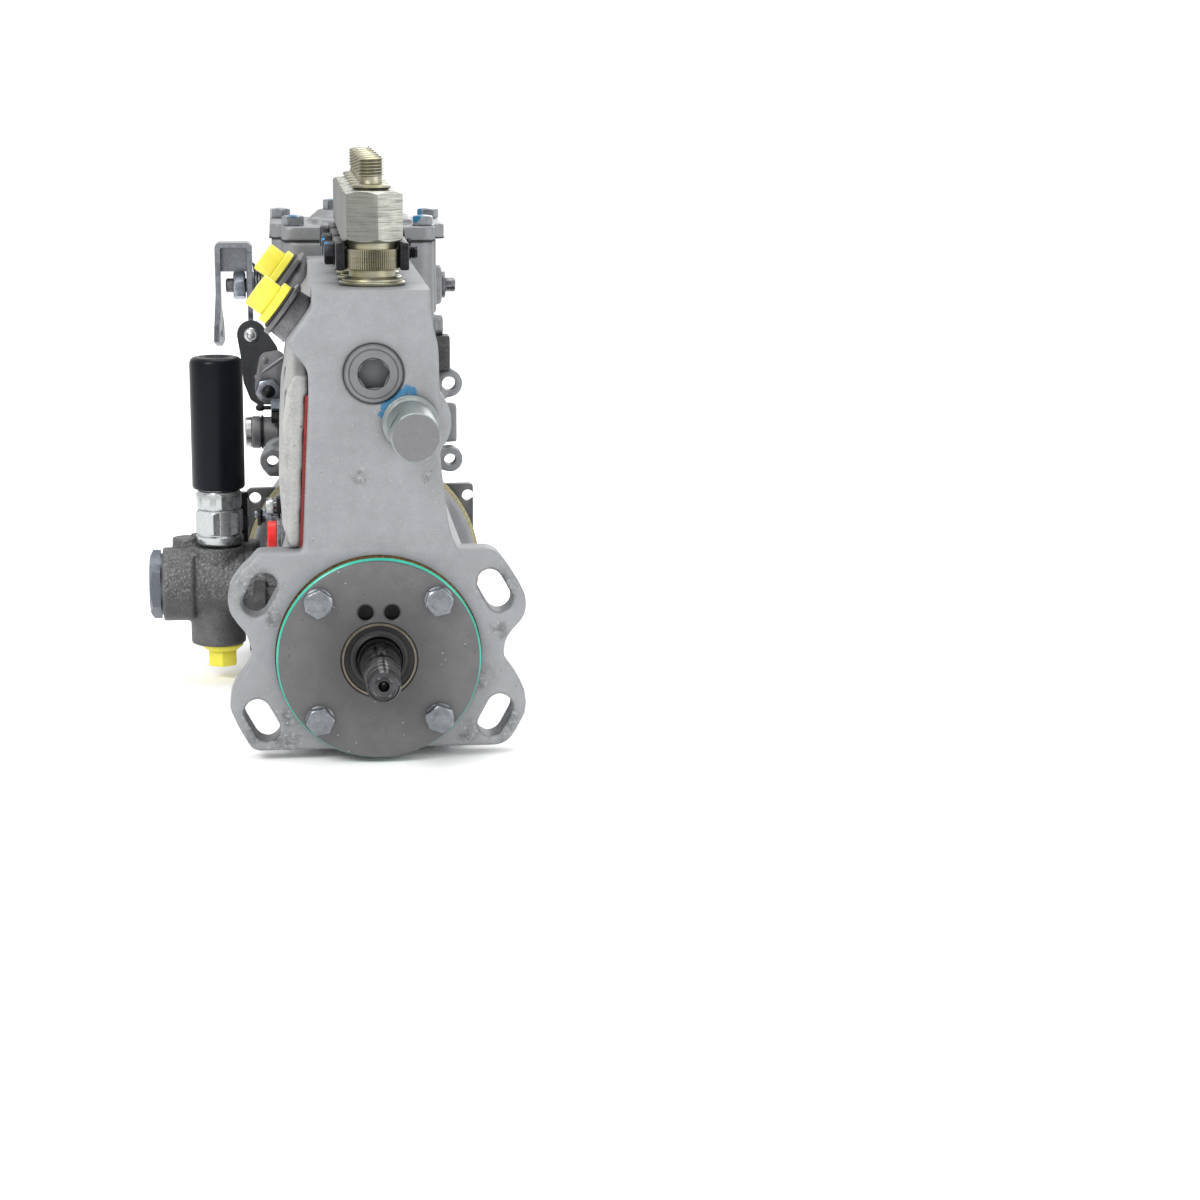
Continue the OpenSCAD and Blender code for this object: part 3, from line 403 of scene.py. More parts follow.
class Paint:
    """One material and its nodes."""

    def __init__(self, name):
        self.material = bpy.data.materials.new(name)
        self.material.use_nodes = True
        self.tree = self.material.node_tree
        self.shader = self.tree.nodes["Principled BSDF"]
        self.spot = Sock(self, self.tree.nodes.new("ShaderNodeTexCoord").outputs["Object"])

    def add(self, kind, settings, inputs, output=0):
        """Adds a node with its settings and its inputs, each a value or a Sock, and gives an output."""
        node = self.tree.nodes.new(kind)
        for key, value in settings.items():
            setattr(node, key, value)
        for key, value in inputs.items():
            if isinstance(value, Sock):
                self.tree.links.new(value.socket, node.inputs[key])
            else:
                node.inputs[key].default_value = value
        return Sock(self, node.outputs[output])

    def noise(self, scale, detail=3, rough=0.55):
        return self.add("ShaderNodeTexNoise", {}, {"Vector": self.spot, "Scale": scale, "Detail": detail,
                                                   "Roughness": rough})

    def cells(self, scale):
        return self.add("ShaderNodeTexVoronoi", {}, {"Vector": self.spot, "Scale": scale})

    def stretched(self, x, y, z):
        """The place in the object with each axis scaled, for streaks."""
        return self.add("ShaderNodeMapping", {}, {"Vector": self.spot, "Scale": (x, y, z)})

    def parts(self):
        node = self.tree.nodes.new("ShaderNodeSeparateXYZ")
        self.tree.links.new(self.spot.socket, node.inputs[0])
        return [Sock(self, out) for out in node.outputs]

    def facing(self):
        """The three parts of the surface's direction in the object."""
        node = self.tree.nodes.new("ShaderNodeSeparateXYZ")
        coordinates = self.tree.nodes.new("ShaderNodeTexCoord")
        self.tree.links.new(coordinates.outputs["Normal"], node.inputs[0])
        return [Sock(self, out) for out in node.outputs]

    def away(self, x, y, z):
        """Distance in mm from a point given in mm."""
        gap = self.add("ShaderNodeVectorMath", {"operation": "DISTANCE"},
                       {0: self.spot, 1: (x * MM, y * MM, z * MM)}, "Value")
        return gap * TO_MM

    def mix(self, share, first, second):
        """The first colour with a share of the second over it."""
        first, second = [(*c, 1) if isinstance(c, tuple) and len(c) == 3 else c for c in (first, second)]
        return self.add("ShaderNodeMix", {"data_type": "RGBA"}, {0: share, 6: first, 7: second}, 2)

    def corners(self, reach):
        """Ambient occlusion: bright in the open, dark in corners within reach mm; the mask of painted corner shade.
        """
        return self.add("ShaderNodeAmbientOcclusion", {"samples": 4}, {"Distance": reach * MM}, "AO")

    def bump(self, height, depth):
        """Relief in the surface, depth mm high."""
        return self.add("ShaderNodeBump", {}, {"Height": height, "Distance": depth * MM})

    def set(self, **sockets):
        for key, value in sockets.items():
            socket = self.shader.inputs[key.replace("_", " ")]
            if isinstance(value, Sock):
                self.tree.links.new(value.socket, socket)
            elif isinstance(value, tuple) and len(value) == 3:
                socket.default_value = (*value, 1)
            else:
                socket.default_value = value
        return self.material


def soft(colour, share):
    """The colour made darker or lighter by a share."""
    return tuple(min(1, c * share) for c in colour)


def smudged(p, places, noise):
    """Mask of worn places, each (x, y, z, reach) in mm."""
    mask = None
    for x, y, z, reach in places:
        here = (p.away(x, y, z) + (noise - 0.5) * reach * 1.4).below(reach * 0.25, reach)
        mask = here if mask is None else mask.most(here)
    return mask


def casting(name, light, dark, rough=0.6, metal=0.5, grain=1500, depth=0.10, places=(), dirt_and_shade=(0.07, 0.07, 0.07),
            pits=0.5, lumps=0.0, blue=(), mark=(0.006, 0.085, 0.26), split=None):
    """Blasted casting: fine grain, cloudy tone, small dents, painted shade in corners, and dirt round worn places."""
    p = Paint(name)
    fine = p.noise(grain, 3, 0.6)
    cloud = p.noise(38, 4, 0.6)
    patch = p.noise(140, 5, 0.7)
    tone = (cloud * 0.35 + patch * 0.35 + fine * 0.3).above(0.34, 0.66)
    colour = p.mix(tone, dark, light)
    bright = p.noise(grain * 0.7, 2, 0.5).above(0.66, 0.74)
    colour = p.mix(bright * 0.35, colour, soft(light, 1.7))
    # painted shade: darker in corners and recesses, from ambient occlusion
    open_air = p.corners(4)
    corner_shade = open_air.below(0.42, 0.92) * (0.4 + patch * 0.6)
    colour = p.mix(corner_shade * 0.8, colour, dirt_and_shade)
    dents = p.cells(210).below(0.06, 0.11) * p.noise(25, 2).above(0.5, 0.6)
    if places:
        worn = smudged(p, places, p.noise(160, 4, 0.7)) * patch.above(0.38, 0.66)
        colour = p.mix(worn * 0.72, colour, dirt_and_shade)
        rubbed = smudged(p, places, p.noise(420, 4, 0.7)) * p.noise(520, 3, 0.6).above(0.55, 0.66)
        colour = p.mix(rubbed * 0.5, colour, soft(light, 1.8))
    colour = p.mix(dents * pits, colour, dirt_and_shade)
    roughness = rough + (cloud - 0.5) * 0.2 + corner_shade * 0.2
    height = fine * 0.7 + patch * 0.6 - dents * 1.2
    if lumps:
        rise = p.noise(420, 3, 0.6) * lumps
        if split is not None:
            upper = (p.parts()[2] * TO_MM + (patch - 0.5) * 3).above(split - 1, split + 1)
            rise = rise * (0.25 + upper * 0.75)
            colour = p.mix(upper * fine.above(0.5, 0.64) * 0.45, colour, soft(light, 2.1))
        height = height + rise
    if blue:
        mask = smudged(p, blue, p.noise(300, 3, 0.6)).above(0.1, 0.7)
        colour = p.mix(mask * 0.85, colour, mark)
    return p.set(Base_Color=colour, Metallic=metal, Roughness=roughness, Normal=p.bump(height, depth))


def turned_steel(name, light, dark, axis="Y", centre=(0, 0), rough=0.35, metal=0.9, rings=2600, streak=0.25,
                 dirt_and_shade=(0.05, 0.05, 0.05), specks=0.0, depth=0.01, rust=None, patchy=0.4, painted_highlights=0.0, reach=2.5,
                 hub_shade=0.0, hole_shade_level=0.0):
    """Turned or ground steel with rings round an axis, painted shade in corners and optional painted highlight bands.
    """
    p = Paint(name)
    x, y, z = p.parts()
    first, second = {"Y": (x, z), "X": (y, z), "Z": (x, y)}[axis]
    radius = ((first - centre[0] * MM) ** 2 + (second - centre[1] * MM) ** 2) ** 0.5
    line = {"Y": y, "X": x, "Z": z}[axis]
    ring = p.add("ShaderNodeTexNoise", {"noise_dimensions": "2D"},
                 {"Vector": p.add("ShaderNodeCombineXYZ", {}, {0: radius, 1: line}), "Scale": rings, "Detail": 3})
    patch = p.noise(120, 4, 0.65)
    colour = p.mix(patch.above(0.3, 0.7) * patchy + ring * streak, dark, light)
    # painted shade: darker towards the axis, from 44 mm in to 14 mm
    if hub_shade:
        colour = p.mix((radius * TO_MM).below(14, 44) * hub_shade, colour, soft(dark, 0.4))
    # painted shade: near black inside holes and bores, behind this level and within 38 mm of the axis
    if hole_shade_level:
        colour = p.mix(line.above(hole_shade_level, hole_shade_level + 0.0006) * (radius * TO_MM).below(38, 39), colour, (0.02, 0.02, 0.022))
    # painted shade in corners and holes, from ambient occlusion
    colour = p.mix(p.corners(reach).below(0.4, 0.9) * 0.7, colour, dirt_and_shade)
    if specks:
        spots = p.cells(330).below(0.09, 0.14) * p.noise(60, 2).above(0.5, 0.58)
        colour = p.mix(spots * specks, colour, dirt_and_shade)
        chips = p.cells(260).below(0.05, 0.09) * p.noise(80, 2).above(0.52, 0.6)
        colour = p.mix(chips * specks * 0.6, colour, (0.8, 0.8, 0.8))
    # painted highlights: bright bands round the turned sides, left off the end faces
    if painted_highlights:
        bars = p.add("ShaderNodeTexNoise", {"noise_dimensions": "1D"}, {"W": line, "Scale": rings * 0.25,
                                                                        "Detail": 2})
        end = p.facing()[{"X": 0, "Y": 1, "Z": 2}[axis]].size()
        colour = p.mix(bars.above(0.52, 0.6) * end.below(0.3, 0.6) * painted_highlights, colour, (0.75, 0.74, 0.72))
    if rust:
        colour = p.mix(p.noise(260, 4, 0.7).above(0.55, 0.75) * 0.5, colour, rust)
    return p.set(Base_Color=colour, Metallic=metal, Roughness=rough + (patch - 0.5) * 0.25 + ring * 0.08,
                 Normal=p.bump(ring, depth))


def zinc(name, light, dark, rough=0.34, blue=(), mark=(0.006, 0.10, 0.27), metal=0.8, mottle=1.0,
         side=0.0, front=0.0):
    """Zinc plating: cloudy, bright, with dull patches; painted shade in corners, and on faces turned to +X or
    straight to -Y where asked.
    """
    p = Paint(name)
    flakes = p.cells(700)
    cloud = p.noise(260, 4, 0.65)
    spots = p.noise(620, 3, 0.6)
    colour = p.mix((cloud * 0.6 + spots * 0.4).above(0.36, 0.62) * mottle, dark, light)
    colour = p.mix(spots.above(0.58, 0.68) * 0.4 * mottle, colour, soft(light, 1.5))
    # painted shade: faces turned towards +X darker
    if side:
        colour = p.mix(p.facing()[0].above(-0.05, 0.75) * side, colour, soft(dark, 0.25))
    # painted shade: faces turned straight towards -Y darker
    if front:
        colour = p.mix(p.facing()[1].below(-0.95, -0.8) * front, colour, soft(dark, 0.7))
    # painted shade in corners, from ambient occlusion
    colour = p.mix(p.corners(2).below(0.4, 0.9) * 0.8, colour, (0.03, 0.033, 0.037))
    if blue:
        mask = smudged(p, blue, p.noise(420, 3, 0.6)).above(0.35, 0.6)
        colour = p.mix(mask * 0.95, colour, mark)
    return p.set(Base_Color=colour, Metallic=metal, Roughness=rough + (cloud - 0.5) * 0.3,
                 Normal=p.bump(cloud + flakes * 0.4, 0.03))


def passivated(name, light, dark, gold, shade):
    """Yellow passivated zinc of the delivery holders, brushed across on the hexagons, with painted shade on faces
    turned to -X and in corners.
    """
    p = Paint(name)
    brush = p.add("ShaderNodeTexNoise", {}, {"Vector": p.stretched(70, 70, 2600), "Scale": 1.0, "Detail": 5,
                                             "Roughness": 0.7})
    cloud = p.noise(110, 3, 0.6)
    colour = p.mix(cloud.above(0.35, 0.65), dark, light)
    colour = p.mix(brush.above(0.42, 0.66) * 0.75, colour, soft(light, 1.5))
    colour = p.mix(brush.below(0.36, 0.5) * 0.75, colour, shade)
    # painted shade: upright faces turned towards -X darker
    facing = p.facing()
    colour = p.mix(facing[0].below(-0.5, 0.2) * facing[2].size().below(0.5, 0.7) * 0.9, colour, soft(shade, 0.6))
    z = p.parts()[2] * TO_MM
    ends = z.below(192, 194) + z.above(217.5, 218.5)
    colour = p.mix(ends * (0.35 + cloud.above(0.4, 0.6) * 0.4), colour, gold)
    # painted shade in corners, from ambient occlusion
    colour = p.mix(p.corners(2.2).below(0.45, 0.92) * 0.88, colour, soft(shade, 0.35))
    return p.set(Base_Color=colour, Metallic=0.9, Roughness=0.27 + brush * 0.2, Normal=p.bump(brush, 0.05))


def moulded(name, colour, rough, shade=0.75, coat=0.0, sheen=0.5):
    """Moulded plastic or rubber, with painted shade in corners."""
    p = Paint(name)
    cloud = p.noise(60, 3)
    fine = p.noise(900, 3)
    tone = p.mix(cloud.above(0.3, 0.7), soft(colour, shade), colour)
    # painted shade in corners, from ambient occlusion
    tone = p.mix(p.corners(2).below(0.4, 0.9) * 0.5, tone, soft(colour, 0.35))
    return p.set(Base_Color=tone, Roughness=rough + (cloud - 0.5) * 0.12, Coat_Weight=coat,
                 Specular_IOR_Level=sheen, Normal=p.bump(fine, 0.01))


def sheet(name, colour, edge):
    """Cut gasket sheet with a frayed, stained edge."""
    p = Paint(name)
    fibre = p.noise(900, 4, 0.7)
    return p.set(Base_Color=p.mix(fibre.above(0.35, 0.65), edge, colour), Roughness=0.8, Normal=p.bump(fibre, 0.08))


def striped(name, light, dark):
    """Cover casting with the upright file marks of its face and a coarse skin, and painted shade in corners."""
    p = Paint(name)
    fine = p.noise(1200, 3, 0.6)
    bars = p.add("ShaderNodeTexNoise", {}, {"Vector": p.stretched(300, 420, 34), "Scale": 1.0, "Detail": 3})
    patch = p.noise(120, 5, 0.7)
    colour = p.mix((bars * 0.3 + patch * 0.4 + fine * 0.3).above(0.36, 0.64), dark, light)
    # painted shade in corners, from ambient occlusion
    colour = p.mix(p.corners(4).below(0.42, 0.92) * 0.8, colour, soft(dark, 0.25))
    dents = p.cells(180).below(0.07, 0.13) * p.noise(40, 2).above(0.45, 0.6)
    colour = p.mix(dents * 0.8, colour, soft(dark, 0.2))
    colour = p.mix(p.noise(900, 2).above(0.64, 0.72) * 0.4, colour, soft(light, 1.6))
    return p.set(Base_Color=colour, Metallic=0.5, Roughness=0.6 + (patch - 0.5) * 0.2,
                 Normal=p.bump(fine * 0.6 + bars * 0.4 + patch * 0.5 - dents, 0.14))


PAINTS = {}


def paint(slot):
    """The finish of a slot; the Finishes operator makes them."""
    if slot not in PAINTS:
        raise RuntimeError("No finish named %s yet: run Finishes first" % slot)
    return PAINTS[slot]


def slot_of(node):
    for row in frame["record"]["subparts"]:
        if row["node"] == node:
            return row["material_slot"]
    raise KeyError(node)


# ---------------------------------------------------------------- sizes and colours that a user would change

def colour(name, text, value):
    return bpy.props.FloatVectorProperty(name=name, description=text, subtype="COLOR", size=3, default=value,
                                         min=0, max=1)


class PumpSizes(bpy.types.PropertyGroup):
    """Lengths in millimetres that the pieces are built from"""
    casting_grain: bpy.props.FloatProperty(name="Casting grain", description="Fineness of the casting skins, in mm",
                                           default=1.2, min=0.6, max=4)
    edge_break: bpy.props.FloatProperty(name="Edge break", description="Chamfer on machined edges, in mm",
                                        default=0.4, min=0.1, max=1.5)
    holder_hexagon: bpy.props.FloatProperty(name="Holder hexagon", default=27, min=22, max=27.5,
                                            description="Width across flats of the delivery holders, in mm")
    bolt_rim: bpy.props.FloatProperty(name="Bolt rim", description="Thickness of the bolts' washer faces, in mm",
                                      default=0.8, min=0.4, max=1.2)
    floor_reach: bpy.props.FloatProperty(name="Floor reach", description="Half width of the studio floor",
                                         subtype="DISTANCE", unit="LENGTH", default=30, min=2, max=80)


class PumpColours(bpy.types.PropertyGroup):
    """Colours of the finishes and of the studio"""
    housing: colour("Housing", "Blasted aluminium of the body", (0.285, 0.29, 0.302))
    cover: colour("Side cover", "Coarse casting of the spring cover", (0.40, 0.40, 0.395))
    governor: colour("Governor", "Casting of the governor and its lid", (0.235, 0.24, 0.25))
    iron: colour("Iron", "Rough iron of the feed pump", (0.125, 0.125, 0.127))
    turned: colour("Turned plate", "Machined end plate", (0.16, 0.158, 0.162))
    zinc: colour("Zinc", "Clear zinc plating of bolts", (0.29, 0.31, 0.33))
    holders: colour("Holders", "Passivated delivery holders", (0.42, 0.43, 0.385))
    gold: colour("Passivation", "Gold tint of the holders' collars", (0.33, 0.30, 0.17))
    black: colour("Black oxide", "Clamps and clamp screws", (0.022, 0.022, 0.025))
    knob: colour("Knob", "Hand primer knob", (0.0035, 0.0045, 0.0075))
    caps: colour("Yellow caps", "Caps of the fuel ports", (0.80, 0.72, 0.065))
    red_cap: colour("Red cap", "Cap of the oil port", (0.72, 0.012, 0.006))
    o_ring: colour("O-ring", "Ring of the pilot", (0.02, 0.42, 0.30))
    red_sheet: colour("Red gasket", "Gasket of the side cover", (0.27, 0.028, 0.026))
    cream_sheet: colour("Cream gasket", "Gasket of the governor", (0.55, 0.50, 0.29))
    marks: colour("Paint marks", "Blue inspection paint", (0.012, 0.15, 0.30))
    floor: colour("Floor", "Studio floor", (0.975, 0.975, 0.975))


# paint marks and worn places: X, Y, Z and reach, all in mm
WORN = [(-58, 0, 33, 16), (58, 0, 33, 13), (-58, 0, -33, 15), (58, 0, -33, 15), (-46, 0, -40, 13), (50, 0, -12, 9),
        (44, 0, -38, 9), (-50, 0, 20, 8), (24, 0, 86, 4), (-44, 0, -30, 9), (57, 0, 12, 7), (-8, 0, 86, 6)]
RACK_MARKS = [(14.2, 0.5, 126.6, 3.6), (11, 0.5, 125.8, 3.4), (8.2, 0.5, 124.2, 3.3), (5.8, 0.5, 121.8, 3),
              (3.9, 0.5, 118.8, 2.6), (2.7, 0.5, 115.6, 2.2), (17.6, 0.5, 126, 2.8)]
BOLT_MARKS = [(-35, 246, 194, 5), (33, 246, 194, 5.5), (38, 323, 194, 4.5), (-14, 290, 200, 3.5)]
STOP_MARKS = [(-56, 280, 99, 3.5), (-44, 268, 96, 4), (-46, 262, 86, 4)]
CLAMP_MARKS = [(-22, 46, 191.5, 4), (-21, 47, 187, 3), (-22, 110, 190, 3)]


class PUMP_OT_finishes(bpy.types.Operator):
    """All the materials, and the paint of the frame's own pieces"""
    bl_idname = "pump.finishes"
    bl_label = "Finishes"

    def execute(self, context):
        c = {name: tuple(getattr(context.scene.pump_colours, name)) for name in PumpColours.__annotations__}
        PAINTS.update({
            "housing_aluminium": casting("blasted aluminium", c["housing"], soft(c["housing"], 0.8), places=WORN,
                                         blue=RACK_MARKS, mark=c["marks"]),
            "side_cover_casting": striped("cover casting", c["cover"], soft(c["cover"], 0.7)),
            "machined_plate": turned_steel("turned plate", c["turned"], soft(c["turned"], 0.66), rough=0.5,
                                           metal=0.65, rings=1900, specks=0.8, streak=0.2, depth=0.015,
                                           hub_shade=0.55, hole_shade_level=-0.0084),
            "zinc_steel": zinc("clear zinc", c["zinc"], soft(c["zinc"], 0.6), blue=BOLT_MARKS, mark=c["marks"],
                               front=0.6),
            "brown_gasket": sheet("brown gasket", (0.22, 0.12, 0.035), (0.09, 0.05, 0.02)),
            "teal_rubber": moulded("teal rubber", c["o_ring"], 0.22, coat=0.4),
            "seal_metal": turned_steel("seal case", (0.24, 0.215, 0.17), (0.12, 0.105, 0.08), rough=0.36),
            "bearing_steel": turned_steel("ground steel", (0.6, 0.6, 0.61), (0.45, 0.45, 0.46), rough=0.22),
            "dark_steel": turned_steel("shaft steel", (0.10, 0.10, 0.105), (0.022, 0.022, 0.023), rough=0.16,
                                       metal=1.0, rings=1500, streak=0.5, depth=0.02, rust=(0.07, 0.045, 0.03),
                                       painted_highlights=0.4),
            "tool_steel": turned_steel("fine steel", (0.23, 0.235, 0.245), (0.165, 0.17, 0.175), rough=0.42,
                                       centre=PLUG, reach=9),
            "spring_steel": zinc("spring wire", (0.2, 0.2, 0.21), (0.1, 0.1, 0.1)),
            "sleeve_bronze": zinc("sleeve bronze", (0.42, 0.33, 0.17), (0.3, 0.22, 0.1)),
            "yellow_zinc": passivated("yellow zinc", c["holders"], soft(c["holders"], 0.7), c["gold"],
                                      soft(c["holders"], 0.4)),
            "black_steel": zinc("black oxide", c["black"], soft(c["black"], 0.5), 0.42, CLAMP_MARKS, c["marks"]),
            "red_gasket": sheet("red gasket", c["red_sheet"], soft(c["red_sheet"], 0.5)),
            "union_steel": zinc("grey phosphate", (0.22, 0.22, 0.235), (0.10, 0.10, 0.11), 0.4),
            "black_rubber": moulded("black rubber", (0.012, 0.012, 0.012), 0.55),
            "yellow_plastic": moulded("yellow plastic", c["caps"], 0.42, shade=0.86),
            "red_plastic": moulded("red plastic", c["red_cap"], 0.4),
            "cast_iron": casting("rough cast iron", c["iron"], soft(c["iron"], 0.5), 0.5, 0.6, grain=900,
                                 depth=0.5, dirt_and_shade=(0.012, 0.012, 0.013), pits=0.3, lumps=1.3, split=-3.5),
            "black_plastic": moulded("black knob", c["knob"], 0.3, shade=0.7, sheen=0.14),
            "governor_casting": casting("governor casting", c["governor"], soft(c["governor"], 0.78), 0.5, 0.6),
            "cream_gasket": sheet("cream gasket", c["cream_sheet"], soft(c["cream_sheet"], 0.6)),
            "phosphated_plate": casting("grey plate", (0.145, 0.145, 0.15), (0.10, 0.10, 0.104), 0.5, 0.6,
                                        grain=1800, depth=0.05),
            # the same slots in another tone
            "greenish_zinc": zinc("greenish zinc", (0.30, 0.33, 0.32), (0.24, 0.265, 0.26), 0.42, mottle=0.5),
            "cap_face": zinc("cap face", (0.19, 0.19, 0.20), (0.165, 0.165, 0.172), 0.5, mottle=0.4),
            "blue_steel": zinc("blue steel", (0.14, 0.155, 0.18), (0.10, 0.11, 0.13), 0.4, mottle=0.5),
            "bright_zinc": zinc("bright zinc", (0.50, 0.525, 0.52), (0.40, 0.42, 0.42), 0.24, metal=0.9, mottle=0.35,
                                side=0.75),
            "chrome": turned_steel("chrome", (0.72, 0.72, 0.73), (0.5, 0.5, 0.51), "X", (273, 73.8), 0.16, 1.0,
                                   painted_highlights=0.5),
            "lever_zinc": zinc("lever zinc", (0.27, 0.285, 0.31), (0.17, 0.18, 0.20), 0.32, STOP_MARKS,
                               c["marks"], mottle=0.5),
            "blue_zinc": zinc("blue zinc", (0.30, 0.335, 0.38), (0.19, 0.215, 0.25), 0.32, side=0.5),
            "turned_union": zinc("turned union", (0.17, 0.17, 0.178), (0.11, 0.11, 0.116), 0.3, mottle=0.5),
            "dark_casting": casting("dark casting", (0.10, 0.10, 0.10), (0.05, 0.05, 0.05), 0.5, 0.6, grain=700,
                                    depth=0.4, lumps=1.0),
            "dark_plate": casting("dark lever", (0.052, 0.053, 0.056), (0.032, 0.033, 0.035), 0.42, 0.6,
                                  grain=1700, depth=0.06),
            "bracket": casting("light bracket", (0.20, 0.20, 0.205), (0.14, 0.14, 0.145), 0.45, 0.6, grain=1700,
                               depth=0.05),
        })
        for name, thing in NODES.items():
            thing.data.materials.clear()
            thing.data.materials.append(paint(slot_of(name)))
            thing.data.shade_smooth()
            thing.data.set_sharp_from_angle(angle=math.radians(30))
        return {"FINISHED"}


# ---------------------------------------------------------------- shared outlines and places, in mm

CYLINDERS = [32 + 32 * i for i in range(6)]
FLANGE_LEFT = [(56.3, 51), (58.8, 47.5), (63.8, 43.1), (69.2, 35.9), (70.8, 27.8), (69.5, 21.5), (66.1, 16.4),
               (62.2, 11.7), (59.8, 3.9), (60.1, -0.7), (63.1, -6.1), (68.1, -12.5), (70, -17), (70.8, -24.3),
               (67.2, -32.8), (61.8, -42.8), (58.8, -45.6)]
FLANGE_RIGHT = [(52.4, 51.2), (57, 49), (62.4, 41.8), (67.8, 33.1), (70.1, 28.4), (70.8, 24), (70.2, 19.4),
                (68.2, 15.6), (63.2, 10.4), (60.6, 6), (59.8, 1), (60.2, -3), (66.2, -11.4), (69.6, -18),
                (70.8, -25), (69.8, -30.4), (64.4, -40.2), (60.8, -44), (56.8, -45.6)]
FUEL_FOOT, FUEL_TOP = (-41.3, 149), (-29.2, 165.2)
TOWER = [(-28.9, 176), (25.8, 176), (26.2, 160), (29.5, 147.6), (30, 124), (30, 95), (32, 77), (34, 61),
         (37.5, 51), (38, 40), (-36, 40), (-35, 51.2), (-31.2, 124), (-31.2, 136.4), FUEL_FOOT, FUEL_TOP]
TOWER_ROUND = [0, 0, 8, 8, 6, 6, 10, 8, 3, 0, 0, 0, 0, 5, 1.5, 1.5]
CAM_CHAMBER = [(-42, 48), (42, 48), (46, 34), (46, -32), (38, -46), (-38, -46), (-46, -32), (-46, 34)]
BODY_TOP, BODY_BACK, BASE = 173.4, 230.2, -50.2
SLOT_RADIUS, SLOT_ANGLE, SLOT_WIDTH, SLOT_LENGTH = 63.3, 28.8, 12.4, 22
UNIONS = ((28, 0), (206, 4))
PLATE_BOLTS = [(sx * 28.284, sz * 28.284) for sx in (-1, 1) for sz in (-1, 1)]
PLUG, RACK, STOP = (-0.9, 134.6), (16, 111.6), (-51.4, 93.2)
FEED, OIL, CAPSULE, LEVER = (176, 2), (100, 41), (273, 70.4), (298, 152)
PRIMER = (-78.2, 176)
COVER_SCREWS = [(y, z) for y in (16, 115, 214) for z in (56.5, 121)]
FEED_BOLTS = [(FEED[0] + s * 33, FEED[1]) for s in (-1, 1)]
LID_BOLTS = ((-36, 248), (36, 248), (-43, 325), (43, 325))


def on_fuel_face(form, y, shift):
    """Stands a form made round Z on the middle of the slanted fuel face, moved along its slope by shift."""
    x, z = [(a + b) / 2 for a, b in zip(FUEL_FOOT, FUEL_TOP)]
    tilt = math.atan2(FUEL_TOP[0] - FUEL_FOOT[0], FUEL_TOP[1] - FUEL_FOOT[1])
    lay = Matrix.Rotation(tilt - math.pi / 2, 4, "Y")
    return form.placed(Matrix.Translation((x, y, z)) @ lay @ Matrix.Translation((shift, 0, -0.5)))


def slots(low, high):
    """Bars that cut the four mounting slots."""
    half = (SLOT_LENGTH - SLOT_WIDTH) / 2
    wide = SLOT_WIDTH / 2
    tools = []
    for turn in (SLOT_ANGLE, -SLOT_ANGLE, 180 - SLOT_ANGLE, 180 + SLOT_ANGLE):
        bar = Form.plate(rectangle(-wide, -half, wide, half), low, high)
        for s in (-half, half):
            bar = bar.join(Form.disc(wide, low, high, 64).move(0, s, 0))
        tools.append(bar.move(SLOT_RADIUS, 0, 0).turn(turn, "Z").along("+Y"))
    return tools


def flat_disc(radius, low, high, floor):
    """Round plate across Y, cut level at the bottom."""
    return rod_y(radius, 0, 0, low, high, 128).cut(Form.block((-90, -20, -90), (90, 380, floor)))


def cap_form(flange, lip, body, top, sides, foot, plug):
    """Moulded cap: round flange, sided body and a plug that goes into the bore."""
    cap = Form.lathe([(0, foot), (plug, foot), (plug, 0), (flange - 0.4, 0), (flange, 0.4), (flange, lip - 0.4),
                      (flange - 0.4, lip), (0, lip)], 64)
    head = Form.disc(body, lip - 0.2, top, sides).turn(180 / sides, "Z").edged(0.5, 2)
    return cap.join(head)


# ---------------------------------------------------------------- the pieces

